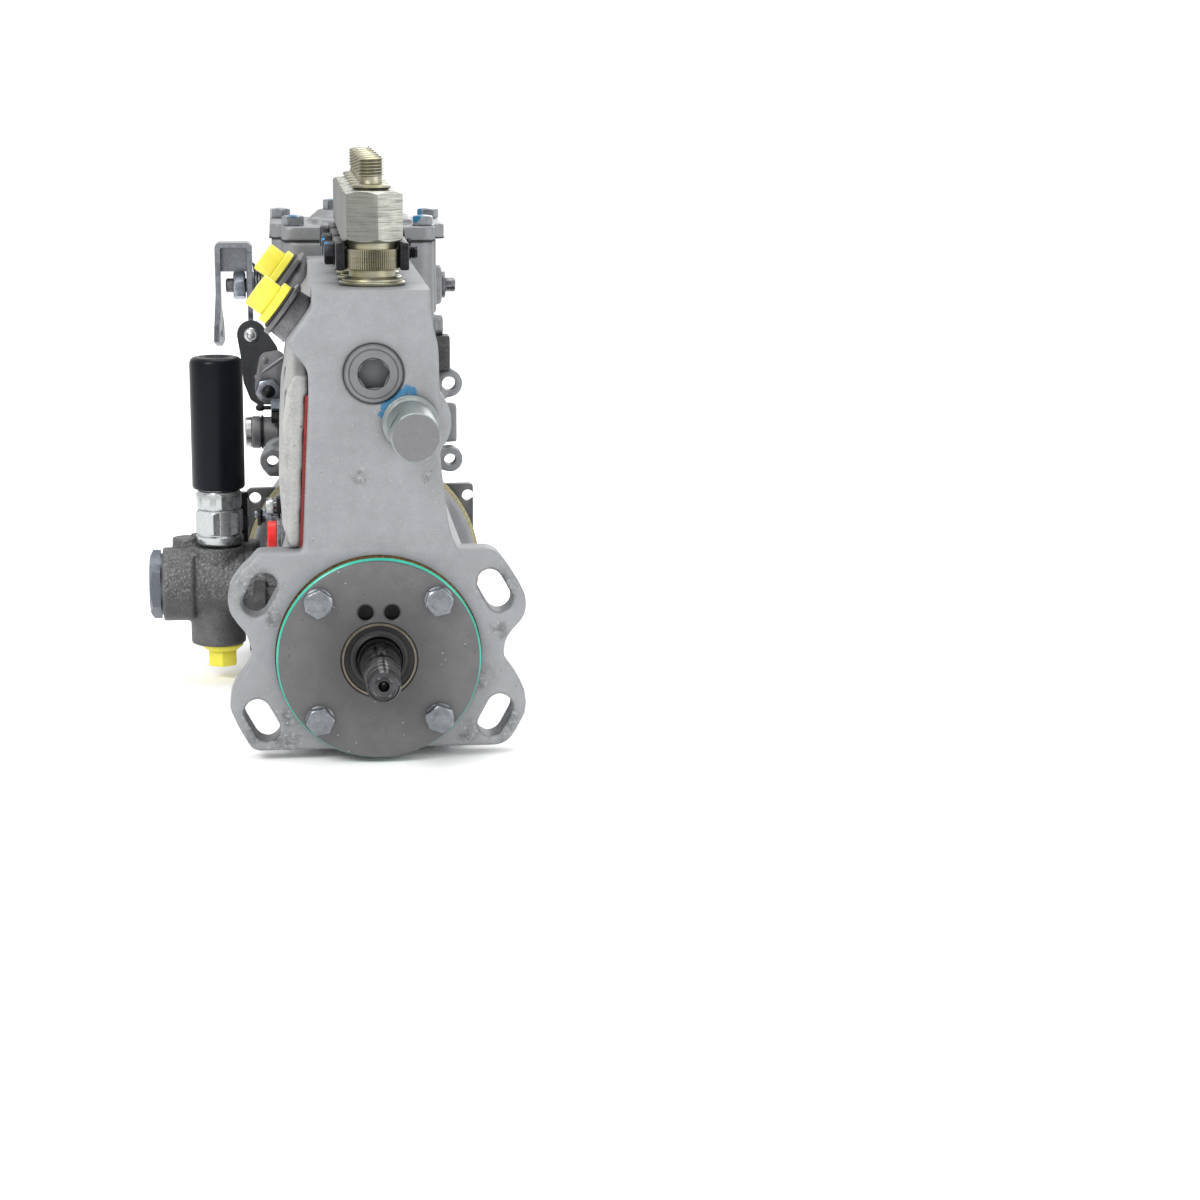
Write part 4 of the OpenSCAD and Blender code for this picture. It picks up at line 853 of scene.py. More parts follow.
class PUMP_OT_housing(bpy.types.Operator):
    """Cast body with its mounting flange, tower and machined seats"""
    bl_idname = "pump.housing"
    bl_label = "Housing"

    def execute(self, context):
        sizes = context.scene.pump_sizes
        outline = [(-x, z) for x, z in FLANGE_LEFT] + [(x, z) for x, z in reversed(FLANGE_RIGHT)]
        ears = flat_y(outline, 0, 16, 3)
        body = ears.join(rod_y(50.2, 0, 0, 0, 16, 128), flat_y(TOWER, 0.5, BODY_BACK, TOWER_ROUND),
                         flat_y(CAM_CHAMBER, 15, BODY_BACK, 4), rod_y(19.4, 16.2, 111.4, 3, 30),
                         flat_disc(63.3, BODY_BACK - 8, BODY_BACK, BASE), rod_x(26, *FEED, -46, -30))
        body = body.cut(*slots(-2, 18))
        body = body.cast(sizes.casting_grain, 5, 0.5)
        tools = [Form.block((-60, -5, BODY_TOP), (60, 240, 190)),
                 rod_y(49, 0, 0, -3, 1.6, 128), rod_y(35, 0, 0, 0, 15),
                 rod_y(28, 0, 0, 14, 213.2), rod_y(23, 0, 0, 212.2, 227.2), rod_y(18, 0, 0, 226.2, 233),
                 Form.block((-50, 18, 60), (22.5, 206, 117.5)),
                 turned_y([(0, -3), (15.2, -3), (15.2, 0.5), (14.1, 1.3), (14.1, 12.5), (0, 12.5)], *PLUG),
                 rod_y(11.5, *PLUG, 12, 215.2),
                 rod_y(5.05, *RACK, 6, 233), rod_y(9, *RACK, -3, 7),
                 rod_x(12, *FEED, -50, -20), rod_x(5.05, *OIL, -60, -24), rod_x(12.4, *OIL, -60, -42.6),
                 Form.block((-80, -30, -80), (80, 0, 56))]
        for y in CYLINDERS:
            tools += [rod_z(13.5, 0, y, 20, 61, 32), rod_z(10, 0, y, 116.5, 151, 32), rod_z(12, 0, y, 150, 190)]
        for y, shift in UNIONS:
            tools += [on_fuel_face(Form.disc(13.2, 0, 20), y, shift), on_fuel_face(Form.disc(5.05, -26, 4), y, shift)]
        tools += [rod_x(2.55, y, z, -45, -16, 16) for y, z in COVER_SCREWS]
        tools += [rod_y(4.05, x, z, 1, 20, 24) for x, z in PLATE_BOLTS]
        tools += [rod_x(4.05, y, z, -50, -34, 24) for y, z in FEED_BOLTS]
        body.cut(*tools).piece("pump_body", "housing_aluminium", ["pump_housing"], smooth=40)
        return {"FINISHED"}


class PUMP_OT_end_plate(bpy.types.Operator):
    """Turned end plate with its pilot, ring groove and puller holes"""
    bl_idname = "pump.end_plate"
    bl_label = "End plate"

    def execute(self, context):
        edge = context.scene.pump_sizes.edge_break
        plate = turned_y([(23.5, -0.5), (18, -0.5), (18, -8.5), (18.5, -9), (47.5 - edge, -9), (47.5, -9 + edge),
                          (47.5, -6.8), (47.3, -6.6), (45.45, -6.6), (45.45, -3.4), (47.3, -3.4), (47.5, -3.2),
                          (47.5, 0.8), (34.9, 0.8), (34.9, 14), (23.5, 14)], ring=True, steps=144)
        tools = [turned_y([(0, -10), (4.5, -10), (4.5, -9), (3.7, -8.2), (3.7, -1.6), (0, -1.6)], s * 6.2, 22.8, 40)
                 for s in (-1, 1)]
        tools += [rod_y(4.4, x, z, -12, 3, 32) for x, z in PLATE_BOLTS]
        plate.cut(*tools).piece("turned_end_plate", "machined_plate", ["bearing_end_plate"])
        hoop(47, 1.5, 128).along("+Y", (0, -5, 0)).piece("o_ring", "teal_rubber", ["pilot_o_ring"])
        return {"FINISHED"}


class PUMP_OT_end_plate_bolts(bpy.types.Operator):
    """Four hexagon bolts of the end plate"""
    bl_idname = "pump.end_plate_bolts"
    bl_label = "End plate bolts"

    def execute(self, context):
        rim = context.scene.pump_sizes.bolt_rim
        forms = [bolt(12, 5.6, 4, 26, turn, 0.7, rim).along("-Y", (x, -9, z))
                 for (x, z), turn in zip(PLATE_BOLTS, (8, 25, 40, 15))]
        gathered(forms).piece("plate_bolts", "zinc_steel", ["end_plate_bolts"])
        return {"FINISHED"}


class PUMP_OT_shaft_seal(bpy.types.Operator):
    """Metal case of the shaft seal and its rubber lip"""
    bl_idname = "pump.shaft_seal"
    bl_label = "Shaft seal"

    def execute(self, context):
        ring = turned_y([(16.4, -8.4), (16.7, -8.9), (17.6, -9), (18, -8.5), (18, -0.5), (16.4, -0.5)], ring=True)
        ring.piece("seal_case", "seal_metal", ["shaft_seal"])
        lip = turned_y([(10.45, -6.5), (11.3, -7.6), (12.4, -6.6), (13.6, -6.4), (15.2, -7.2), (16.5, -7.4),
                        (16.5, -1.5), (10.45, -1.5)], ring=True)
        lip.piece("seal_lip", "black_rubber")
        return {"FINISHED"}


class PUMP_OT_camshaft(bpy.types.Operator):
    """Drive end of the camshaft with its thread, taper and key; the cams come from the frame"""
    bl_idname = "pump.camshaft"
    bl_label = "Camshaft"

    def execute(self, context):
        rear = Form.of_node("camshaft").cut(Form.block((-20, -80, -20), (20, -2, 20)))
        front = turned_y([(0, -1.9), (10.38, -1.9), (10.38, -12), (10, -13), (8.5, -39.8), (8.2, -40.4),
                          (6.9, -41), (6.9, -43.8), (7.1, -44.2), (7.1, -61.2), (6.6, -62), (5.4, -62),
                          (5.2, -61.7), (4.4, -61.7), (4.2, -62), (0, -62)], steps=96)
        screw = thread(8, 0.95, 1.5, 11, 0.2, 40).along("-Y", (0, -44.2, 0))
        hole = turned_y([(0, -63), (3.1, -63), (2.4, -61.6), (2.2, -57), (0, -55.5)], steps=32)
        key_seat = Form.block((-2, -36, 6.5), (2, -21, 14))
        front = front.cut(hole, key_seat)
        rear.also(front, screw).piece("camshaft_steel", "dark_steel", ["camshaft"], body="cam")
        key = Form.block((-1.98, -36, 6.5), (1.98, -21, 11.1)).edged(0.35, 2)
        key.piece("drive_key", "dark_steel", ["woodruff_key"], body="cam")
        return {"FINISHED"}


class PUMP_OT_rack_cap(bpy.types.Operator):
    """Cap over the end of the control rack, with its wrench flats"""
    bl_idname = "pump.rack_cap"
    bl_label = "Rack cap"

    def execute(self, context):
        def flats(x):
            return [Form.block((s * x - 10.3, -53, -15), (s * x + 10.3, -34, 15)).turn(32, "Y") for s in (-1, 1)]

        cap = turned_y([(0, 6), (9, 6), (9, 0.5), (13, 0.5), (13.2, 0), (13.2, -3.4), (12.8, -3.8), (12.6, -4),
                        (12.6, -4.8), (12.2, -5.4), (11.6, -5.8), (11.2, -6.4), (11.2, -50.2), (10.6, -50.8),
                        (0, -50.8)], steps=96)
        cap.cut(rod_y(6.5, 0, 0, -46, 8), *flats(20.6)).edged(0.25, 2, 30).move(RACK[0], 0, RACK[1])
        cap.piece("rack_guard", "zinc_steel", ["rack_cap"], look="greenish_zinc")
        face = turned_y([(0, -50.7), (10.55, -50.7), (10.55, -50.9), (10.4, -51), (0, -51)], steps=96)
        face.cut(*flats(20.3)).move(RACK[0], 0, RACK[1]).piece("rack_guard_face", "zinc_steel", look="cap_face")
        return {"FINISHED"}


class PUMP_OT_gallery_plug(bpy.types.Operator):
    """Socket plug that closes the fuel gallery"""
    bl_idname = "pump.gallery_plug"
    bl_label = "Gallery plug"

    def execute(self, context):
        plug = turned_y([(0, 12), (13.9, 12), (13.9, 0.4), (13.2, -0.5), (12, -0.6), (11.8, -0.6), (11.6, -0.3),
                         (11.3, -0.3), (11.1, -0.6), (0, -0.6)], steps=128)
        socket = Form.disc(13.2 / math.sqrt(3), -8, 4, 6).along("-Y").turn(24.3, "Y")
        lead = Form.lathe([(0, -0.2), (7, -0.2), (7.8, 0.9), (0, 0.9)], 48).along("-Y")
        plug.cut(socket, lead).move(PLUG[0], 0, PLUG[1]).piece("gallery_screw", "tool_steel", ["gallery_plug"])
        return {"FINISHED"}


class PUMP_OT_delivery_holders(bpy.types.Operator):
    """Six delivery valve holders with toothed band, hexagon, collar and thread"""
    bl_idname = "pump.delivery_holders"
    bl_label = "Delivery holders"

    def execute(self, context):
        across = context.scene.pump_sizes.holder_hexagon
        forms = []
        for y in CYLINDERS:
            base = Form.lathe([(6.8, 158.5), (11.9, 158.5), (11.9, 173.4), (15.4, 173.4), (15.6, 173.8),
                               (15.6, 175), (15.1, 175.5), (14.2, 175.7), (14.0, 176.4), (12.0, 176.8),
                               (10.9, 177.6), (10.8, 180.6), (11.6, 181.3), (12.2, 181.6), (12.2, 190.2),
                               (11.9, 190.6), (11.9, 193.4), (12.9, 194.0), (12.9, 217.4), (9.2, 217.8),
                               (8.5, 218.4), (9.3, 219.1), (9.3, 220.1), (8.6, 220.5), (5.7, 220.9), (5.4, 222),
                               (5.25, 222.6), (5.25, 232.4), (4.7, 232.9), (3.9, 233), (1.4, 229.8), (1.3, 186),
                               (6.8, 185.8)], 72, ring=True)
            hexagon = Form.hexagon(across, 193.8, 217.8, 0, crown=1, foot=1).edged(0.3, 2, 35)
            teeth = Form.disc(12.9, 181.3, 190.5, 144)
            for v in teeth.bm.verts:
                if round(math.atan2(v.co.y, v.co.x) / math.tau * 144) % 2:
                    v.co.x, v.co.y = v.co.x * 0.955, v.co.y * 0.955
            screw = thread(6, 0.78, 1.5, 6, 223.1, 32)
            forms.append(base.also(hexagon, teeth, screw).turn(39.5, "Z").move(0, y, 0))
        gathered(forms).piece("delivery_holders", "yellow_zinc", ["delivery_valve_holders"], smooth=30)
        return {"FINISHED"}


class PUMP_OT_clamps(bpy.types.Operator):
    """Toothed clamp plates that lock the holders, with their cross bolts"""
    bl_idname = "pump.clamps"
    bl_label = "Clamps"

    def execute(self, context):
        strips, bolts = [], []
        for y in (48, 112, 176):
            for s, x in ((1, 12.95), (-1, -17.2)):
                strip = Form.block((x, y - 27, 180.9), (x + 4.25, y + 27, 193.7)).edged(0.7, 2)
                strips.append(strip.cut(rod_x(3.1, y, 187.4, -30, 30, 32)))
            head = bolt(10, 5, 3, 36, 17, 0.3, context.scene.pump_sizes.bolt_rim)
            screw = thread(3.0, 0.5, 1.0, 5, -39.6, 24)
            bolts.append(head.also(screw).along("-X", (-17.2, y, 187.4)).also(rod_x(2.5, y, 187.4, 17, 22.3, 24)))
        gathered(strips).piece("clamp_strips", "black_steel", ["clamp_plates"])
        gathered(bolts).piece("clamp_screws", "black_steel", ["clamp_bolts"])
        return {"FINISHED"}


class PUMP_OT_side_cover(bpy.types.Operator):
    """Spring chamber cover and its slotted screws"""
    bl_idname = "pump.side_cover"
    bl_label = "Side cover"

    def execute(self, context):
        outline = [(-32.7, 124), (-31.4, 124.2), (-31.4, 133.4), (-37.7, 133.4), (-41, 127), (-44.2, 108),
                   (-45.6, 84), (-44.2, 62), (-40.8, 51.2), (-36.5, 51.2)]
        cover = flat_y(outline, 8, 222).cast(context.scene.pump_sizes.casting_grain * 0.8, 3, 0.5)
        tools = [Form.block((-39.5, 20, 64), (-19.5, 204, 114))]
        screws = []
        for y, z in COVER_SCREWS:
            tools += [rod_x(5.8, y, z, -60, -38.6, 32), rod_x(2.7, y, z, -60, -28, 16)]
            head = Form.lathe([(0, -19), (2.5, -19), (2.5, 0), (4.8, 0), (5, 0.3), (5, 2.4), (4.4, 3.3),
                               (2.5, 3.7), (0, 3.8)], 40)
            screws.append(head.cut(Form.block((-6, -0.7, 2.3), (6, 0.7, 6)).turn(y * 7 + z, "Z")).along(
                "-X", (-38.6, y, z)))
        cover.cut(*tools).piece("spring_cover", "side_cover_casting", ["side_cover"], smooth=40)
        gathered(screws).piece("cover_screws", "dark_steel", ["side_cover_screws"], look="union_steel")
        return {"FINISHED"}


class PUMP_OT_fuel_unions(bpy.types.Operator):
    """Fuel unions on the slanted face, their seals and yellow caps"""
    bl_idname = "pump.fuel_unions"
    bl_label = "Fuel unions"

    def execute(self, context):
        y, shift = UNIONS[0]
        near = Form.lathe([(7, 10.6), (13.2, 10.6), (13.8, 10.1), (13.8, 8.6), (13.3, 8.0), (12.2, 7.6),
                           (11.9, 7), (12.2, 2), (12.6, 0), (5, 0), (5, -14), (3.5, -14), (3.5, 4), (7, 4)],
                          72, ring=True)
        on_fuel_face(near, y, shift).piece("near_union", "union_steel", ["fuel_unions"], look="turned_union")
        y, shift = UNIONS[1]
        far = Form.hexagon(25.4, 7.9, 10.6, 15, crown=1).join(
            Form.lathe([(0, -14), (5, -14), (5, 0), (10.6, 0), (10.6, 5), (9.8, 6.4), (10.8, 8), (0, 8)], 64))
        far = far.cut(Form.disc(7, 4, 12), Form.disc(3.5, -15, 5))
        on_fuel_face(far, y, shift).piece("far_union", "union_steel", look="phosphated_plate")
        seals = []
        for name, (y, shift) in zip(("near", "far"), UNIONS):
            cap = cap_form(10.6, 4, 8.6, 13.4, 8, -6, 6.8).move(0, 0, 11.8)
            stands_for = ["union_caps"] if name == "near" else ()
            on_fuel_face(cap, y, shift).piece(name + "_union_cap", "yellow_plastic", stands_for)
            seal = Form.lathe([(7, 10.6), (11.2, 10.6), (11.4, 10.9), (11.4, 11.5), (11.1, 11.8), (7, 11.8)],
                              64, ring=True)
            seals.append(on_fuel_face(seal, y, shift))
        gathered(seals).piece("union_washers", "black_rubber", ["union_seals"])
        return {"FINISHED"}


class PUMP_OT_oil_port(bpy.types.Operator):
    """Oil port in the side of the body, and its red cap"""
    bl_idname = "pump.oil_port"
    bl_label = "Oil port"

    def execute(self, context):
        port = turned_x([(3, -30), (5, -30), (5, -42.6), (11.2, -42.6), (11.5, -42.9), (11.5, -45.1),
                         (11.2, -45.4), (9, -45.4), (9, -47), (8.7, -47.4), (3, -47.4)], *OIL, ring=True)
        port.piece("oil_fitting", "union_steel", ["oil_port"])
        cap = turned_x([(0, -41), (2.9, -41), (2.9, -47.4), (7.3, -47.4), (7.6, -47.8), (7.6, -51.6),
                        (7.1, -52.2), (0, -52.2)], *OIL)
        cap.piece("oil_stopper", "red_plastic", ["oil_port_cap"])
        return {"FINISHED"}


class PUMP_OT_feed_pump(bpy.types.Operator):
    """Rough feed pump casting with its plug, bolts and lower cap"""
    bl_idname = "pump.feed_pump"
    bl_label = "Feed pump"

    def execute(self, context):
        sizes = context.scene.pump_sizes
        body = rod_x(17, *FEED, -70, -53).join(
            rod_x(19.8, *FEED, -108.8, -92), rod_x(18, *FEED, -93, -66), rod_z(14.6, -80, 176, -30.5, 22.8),
            rod_z(9, -66, 190, -2, 22.4), Form.block((-70, 184, 2), (-60, 198, 20)),
            rod_z(8, -96, 187, 0, 25.5), Form.block((-96, 181, 2), (-84, 192, 22)), rod_z(2.8, -91, 184, 12, 28),
            flat_x(rectangle(143, -6, 209, 10), -54, -46.8, 7), rod_x(22, *FEED, -54, -46.8))
        body = body.cast(sizes.casting_grain * 0.75, 4, 0.7)
        tools = [rod_x(11, *FEED, -112, -56), rod_x(6, *FEED, -57, -40), rod_z(9, *PRIMER, 12, 30),
                 rod_z(7, *PRIMER, -40, -20), Form.block((-112, 100, -30), (-108.8, 230, 40))]
        tools += [rod_x(4.2, y, z, -60, -40, 24) for y, z in FEED_BOLTS]
        body.cut(*tools).piece("feed_pump_casting", "cast_iron", ["feed_pump_body"], smooth=50)
        plug = Form.hexagon(32.6, 0.9, 6.8, 0, crown=1).edged(0.5, 2, 35).join(
            Form.lathe([(0, -8), (10.94, -8), (10.94, 0), (16.4, 0), (16.4, 1.2), (0, 1.2)], 64))
        plug.cut(Form.disc(8, -9, -3)).along("-X", (-108.8, *FEED))
        plug.piece("feed_pump_screw", "union_steel", ["feed_pump_plug"], look="blue_steel")
        cap = Form.lathe([(0, 8), (7, 8), (7, 0), (11, -0.1), (11.3, -0.6), (11.1, -1.6), (8.2, -4), (0, -4)], 64)
        head = Form.disc(8.4, -12.3, -3.9, 6).edged(0.6, 2)
        cap.join(head).move(*PRIMER, -30.5).piece("feed_pump_stopper", "yellow_plastic", ["feed_pump_cap"])
        forms = [bolt(13, 6.5, 4, 18, 10, 0.35, sizes.bolt_rim).along("-X", (-54, y, z)) for y, z in FEED_BOLTS]
        gathered(forms).piece("feed_pump_screws", "zinc_steel", ["feed_pump_nuts"], look="dark_casting")
        return {"FINISHED"}


class PUMP_OT_hand_primer(bpy.types.Operator):
    """Hand primer: plated barrel with its hexagon, and the knob that is pumped"""
    bl_idname = "pump.hand_primer"
    bl_label = "Hand primer"

    def execute(self, context):
        barrel = Form.lathe([(7, 14), (9, 14), (9, 22.8), (11, 23), (12.2, 24.4), (12.6, 25.2), (12.6, 28.4),
                             (11.7, 29.2), (11.7, 42.4), (11.2, 43), (11.5, 43.4), (11.5, 52.2), (11, 53),
                             (10.4, 53), (10.4, 97.4), (9.8, 98), (4.05, 98), (4.05, 92), (7, 92)], 72, ring=True)
        nut = Form.hexagon(22.6, 29.2, 42.6, 0, crown=1, foot=1).edged(0.35, 2, 35)
        flats = Form.disc(12.3, 43.8, 51.8, 8).edged(0.5, 2, 20).cut(Form.disc(8, 40, 55, 32)).turn(8, "Z")
        nut = nut.cut(Form.disc(8, 20, 50, 32)).turn(17, "Z")
        barrel.also(nut, flats).move(*PRIMER, 0)
        barrel.piece("primer_tube", "zinc_steel", ["primer_barrel"], look="bright_zinc")
        knob = Form.lathe([(10.8, 118), (10.8, 54.4), (11.4, 54), (13.2, 54), (13.8, 54.7), (14, 55.8), (14, 120),
                           (13.85, 121.6), (13.3, 122.9), (12.3, 123.8), (11, 124.2), (9, 124.3), (8.2, 124.0),
                           (7, 123.2), (5.6, 122.7), (0, 122.4), (0, 119.5), (4, 119.5), (4, 118)], 96, ring=True)
        stem = Form.lathe([(0, 26), (6.94, 26), (6.94, 33), (4, 33), (4, 119), (0, 119)], 48)
        knob.also(stem).move(*PRIMER, 0).piece("primer_grip", "black_plastic", ["primer_knob"], body="primer")
        return {"FINISHED"}


class PUMP_OT_governor(bpy.types.Operator):
    """Governor casting with its lugs and bosses"""
    bl_idname = "pump.governor"
    bl_label = "Governor"

    def execute(self, context):
        walls = Form.plate(rectangle(-41.7, 239, 41.7, 339), 20, 180.5, 11)
        wide = Form.plate(rectangle(-48, 263, 44.4, 339), 138.5, 180.5, 9)
        shell = flat_disc(65, 231, 240, BASE).join(
            flat_disc(60, 239, 313, BASE + 6), flat_disc(52, 312, 331, BASE + 6), walls, wide,
            rod_x(11.4, *LEVER, 40, 49), rod_x(9.5, *LEVER, -50.2, -40),
            Form.block((40, 253, 96), (51, 261, 109)),
            rod_y(7.8, 50.2, 99.8, 251, 261), rod_x(5.8, 256, 132.4, 38, 47.2),
            Form.block((40, 247, 67), (54.4, 259, 88.6)), Form.block((40, 249, 76), (47.6, 257, 102)),
            *[rod_y(7.2, x, 59, 234, 245) for x in (49.6, -49.6)],
            Form.block((35, 234, 53), (46, 245, 66)), Form.block((-46, 234, 53), (-35, 245, 66)),
            flat_y([(-55, 54), (-52, 50), (-42, 50), (-40, 71), (-47, 72), (-52.5, 69), (-55.5, 63)], 237, 245, 2),
            rod_x(12, 273, 72.4, -45, -36), Form.block((-56, 289, 84), (-40, 299, 102)),
            *[Form.block((41, y, 30), (44.4, y + 6, 128)) for y in (285, 315)])
        shell = shell.cast(context.scene.pump_sizes.casting_grain, 4, 0.6)
        inner = Form.plate(rectangle(-36.5, 244.5, 36.5, 333.5), 20, 200, 8)
        tools = [flat_disc(54, 234, 301, BASE + 11), flat_disc(46, 291, 325, BASE + 11), rod_y(18, 0, 0, 229, 241),
                 rod_y(9, *RACK, 229, 251), inner, rod_x(5.03, *LEVER, -60, 60),
                 rod_y(4, 50.2, 99.8, 231, 291), *[rod_y(3.3, x, 59, 231, 251) for x in (49.6, -49.6)],
                 rod_x(8, *CAPSULE, -60, -30), rod_y(4, *STOP, 276, 300),
                 Form.block((-80, 220, -80), (80, 231, 190))]
        shell.cut(*tools).piece("governor_shell", "governor_casting", ["governor_housing"], smooth=40)
        block = Form.block((41, 249, 107.5), (50.9, 265, 127)).cast(0.9, 3)
        block.piece("governor_block", "governor_casting", look="dark_casting")
        return {"FINISHED"}


class PUMP_OT_governor_lid(bpy.types.Operator):
    """Governor lid with its step and boss, and the bolts that hold it"""
    bl_idname = "pump.governor_lid"
    bl_label = "Governor lid"

    def execute(self, context):
        rim = context.scene.pump_sizes.bolt_rim
        lid = Form.plate(rectangle(-42.5, 239, 42.5, 279), 181.3, 188.9, 8).join(
            Form.plate(rectangle(-49, 263, 49, 339), 181.3, 188.9, 10),
            Form.plate(rectangle(-25, 259, 31, 323), 188.8, 191.8, 8),
            Form.disc(21, 188.6, 195.7, 72, 13).move(-8, 293, 0))
        lid = lid.cast(context.scene.pump_sizes.casting_grain * 0.8, 3, 0.6)
        lid.cut(*[rod_z(3.1, x, y, 160, 200, 24) for x, y in LID_BOLTS], rod_z(2.5, -14, 291, 180.5, 196.5, 24),
                Form.block((-80, 220, 170), (80, 360, 181.3)))
        lid.piece("governor_top", "governor_casting", ["governor_cover"], smooth=40)
        forms = [bolt(10.6, 5.4, 3, 8.4, 20 * k, 0.5, rim).move(x, y, 188.9) for k, (x, y) in enumerate(LID_BOLTS)]
        forms.append(bolt(8, 5.5, 2.5, 10, 5, 0.4, rim).move(-14, 291, 195.7))
        gathered(forms).piece("lid_bolts", "zinc_steel", ["governor_cover_bolts"])
        return {"FINISHED"}


class PUMP_OT_control_lever(bpy.types.Operator):
    """Folded control lever on its shaft, with nut, washers and return spring"""
    bl_idname = "pump.control_lever"
    bl_label = "Control lever"

    def execute(self, context):
        high, (y, z) = 176, LEVER
        outer = flat_y(rectangle(-80.4, high - 11.4, -59.4, high + 0.6), y - 8, y + 8, 4).cut(
            flat_y(rectangle(-77.4, high - 14, -62.2, high - 2), y - 9, y + 9, 2),
            Form.block((-82, y - 12, high - 12), (-58, y + 12, high - 5.6)))
        left = flat_x([(y - 8, high - 5), (y - 8, 166), (y - 6.6, 158), (y - 6, 148), (y - 7.4, 140),
                       (y - 8.4, 130), (y - 6, 120), (y, 117), (y + 6, 120), (y + 8.4, 130), (y + 7.4, 140),
                       (y + 6, 148), (y + 6.6, 158), (y + 8, 166), (y + 8, high - 5)], -80.4, -77.4, 1.5)
        for v in left.bm.verts:
            if v.co.z < 140:
                v.co.x += (140 - v.co.z) * 0.11 * (v.co.y - y) / 8
        right = flat_x([(y - 9, 139), (y - 9, high - 5), (y + 9, high - 5), (y + 9, 139)], -62.2, -59.4).join(
            rod_x(9, y, 139, -62.2, -59.4))
        web = Form.block((-79, y + 5, high - 16.5), (-60.8, y + 8, high - 1))
        lever = outer.join(left, right, web).cut(rod_x(4.03, y, z, -64, -58), rod_x(3.2, y, 125, -82, -76))
        lever.edged(0.4, 2, 40).piece("control_lever_plate", "zinc_steel", ["control_lever"],
                                      body="control_lever", look="lever_zinc")
        shaft = turned_x([(0, -74.6), (3.2, -74.6), (4, -73.8), (4, -59.3), (4.7, -59.3), (5, -59), (5, 49.2),
                          (7.6, 49.2), (7.6, 51), (4, 51), (4, 56.4), (3.4, 57), (0, 57)], y, z)
        block = Form.block((-12, y - 6, 146), (12, y + 6, 158))
        slot = Form.block((52, y - 7, 151.4), (58, y + 7, 152.6)).turn(25, "X", (52, y, z))
        shaft.join(block).cut(slot).piece("control_shaft", "zinc_steel", ["lever_shaft"],
                                          body="control_lever", look="union_steel")
        nut = Form.hexagon(14.6, 0, 6.9, 12, crown=1, foot=1).edged(0.25, 2, 35).cut(Form.disc(3.4, -1, 8, 24))
        nut.along("+X", (-70.3, y, z)).piece("lever_nut", "zinc_steel", body="control_lever", look="blue_zinc")
        rings = turned_x(rectangle(4.02, -62.7, 8.2, -62.25), y, z, ring=True)
        rings.also(turned_x([(4.02, -59.3), (7.6, -59.3), (7.6, -58.4), (4.8, -58.4)], y, z, ring=True))
        rings.piece("lever_washers", "zinc_steel", body="control_lever")
        turns = []
        for k in range(73):
            a = math.radians(k * 20)
            turns.append((-57.9 + k * 0.095, y + 8.4 * math.cos(a), z + 8.4 * math.sin(a)))
        turns += [(-50.9, y - 2, 166), (-50.9, y - 6, 171)]
        coil = wire(turns, 0.75, 8)
        coil.also(wire([(-57.9, y + 8.4, z), (-58, y + 10, 158), (-58.6, y + 10.4, 163), (-60.8, y + 10.6, 164.6),
                        (-63, y + 10.4, 163)], 0.75, 8))
        coil.piece("return_spring", "spring_steel")
        return {"FINISHED"}


class PUMP_OT_stop_lever(bpy.types.Operator):
    """Stop lever of two plates with its rivet, on a stud with a dark end"""
    bl_idname = "pump.stop_lever"
    bl_label = "Stop lever"

    def execute(self, context):
        (x, z), hole = STOP, rod_y(4.05, *STOP, 270, 300)
        dark = flat_y([(-68.5, 123), (-66.8, 112.3), (-65.6, 98), (-61.8, 87.7), (-57, 84.4), (-46, 86),
                       (-42.6, 93), (-44.6, 107), (-46, 117.7), (-54.6, 130.6)], 283, 286, 2).join(
            rod_y(8.2, -60.5, 124.9, 283, 286))
        dark.cut(hole).edged(0.35, 2, 40).piece("stop_plate", "phosphated_plate", ["stop_lever"],
                                                body="stop_lever", look="dark_plate")
        fold = flat_y([(-42.4, 114.2), (-46, 116.4), (-53.8, 115), (-56.2, 112.6), (-57.6, 105.5), (-58.8, 99),
                       (-59.2, 94), (-57.4, 88), (-51.5, 84.9), (-45.6, 86.4), (-42.6, 91)], 280.4, 283, 2)
        ridge = wire([(-58, 282.2, 101), (-52, 281.4, 105.6), (-42.8, 281.4, 112)], 1.5, 12)
        button = turned_y([(0, 281), (1.9, 280.4), (1.9, 279.9), (1.2, 279.6), (0, 279.6)], -53.2, 110.6, 32)
        fold.cut(hole).edged(0.4, 2, 40).also(ridge, button)
        fold.piece("stop_bracket", "phosphated_plate", body="stop_lever", look="bracket")
        rivet = turned_y([(0, 284), (4.2, 284), (4.2, 282.4), (3.4, 281.4), (2.6, 281.1), (2.2, 281.4), (1, 280.9),
                          (0, 280.8)], -60.5, 124.9, 48)
        rivet.piece("stop_rivet", "zinc_steel", body="stop_lever", look="bright_zinc")
        nut = Form.hexagon(13, 0, 5, 10, crown=1).edged(0.25, 2, 35).cut(Form.disc(3.6, -1, 8, 24))
        nut.also(Form.lathe(rectangle(4.02, -0.3, 7.2, 0.1), 40, ring=True))
        nut.along("-Y", (x, 280.3, z)).piece("stop_nut", "zinc_steel", look="lever_zinc")
        stud = turned_y([(0, 299), (4, 299), (4, 277), (3.8, 275.4), (3, 273.6), (1.6, 272.6), (0, 272.2)], x, z, 48)
        stud.piece("stop_pin", "zinc_steel", ["stop_stud"], look="black_steel")
        return {"FINISHED"}


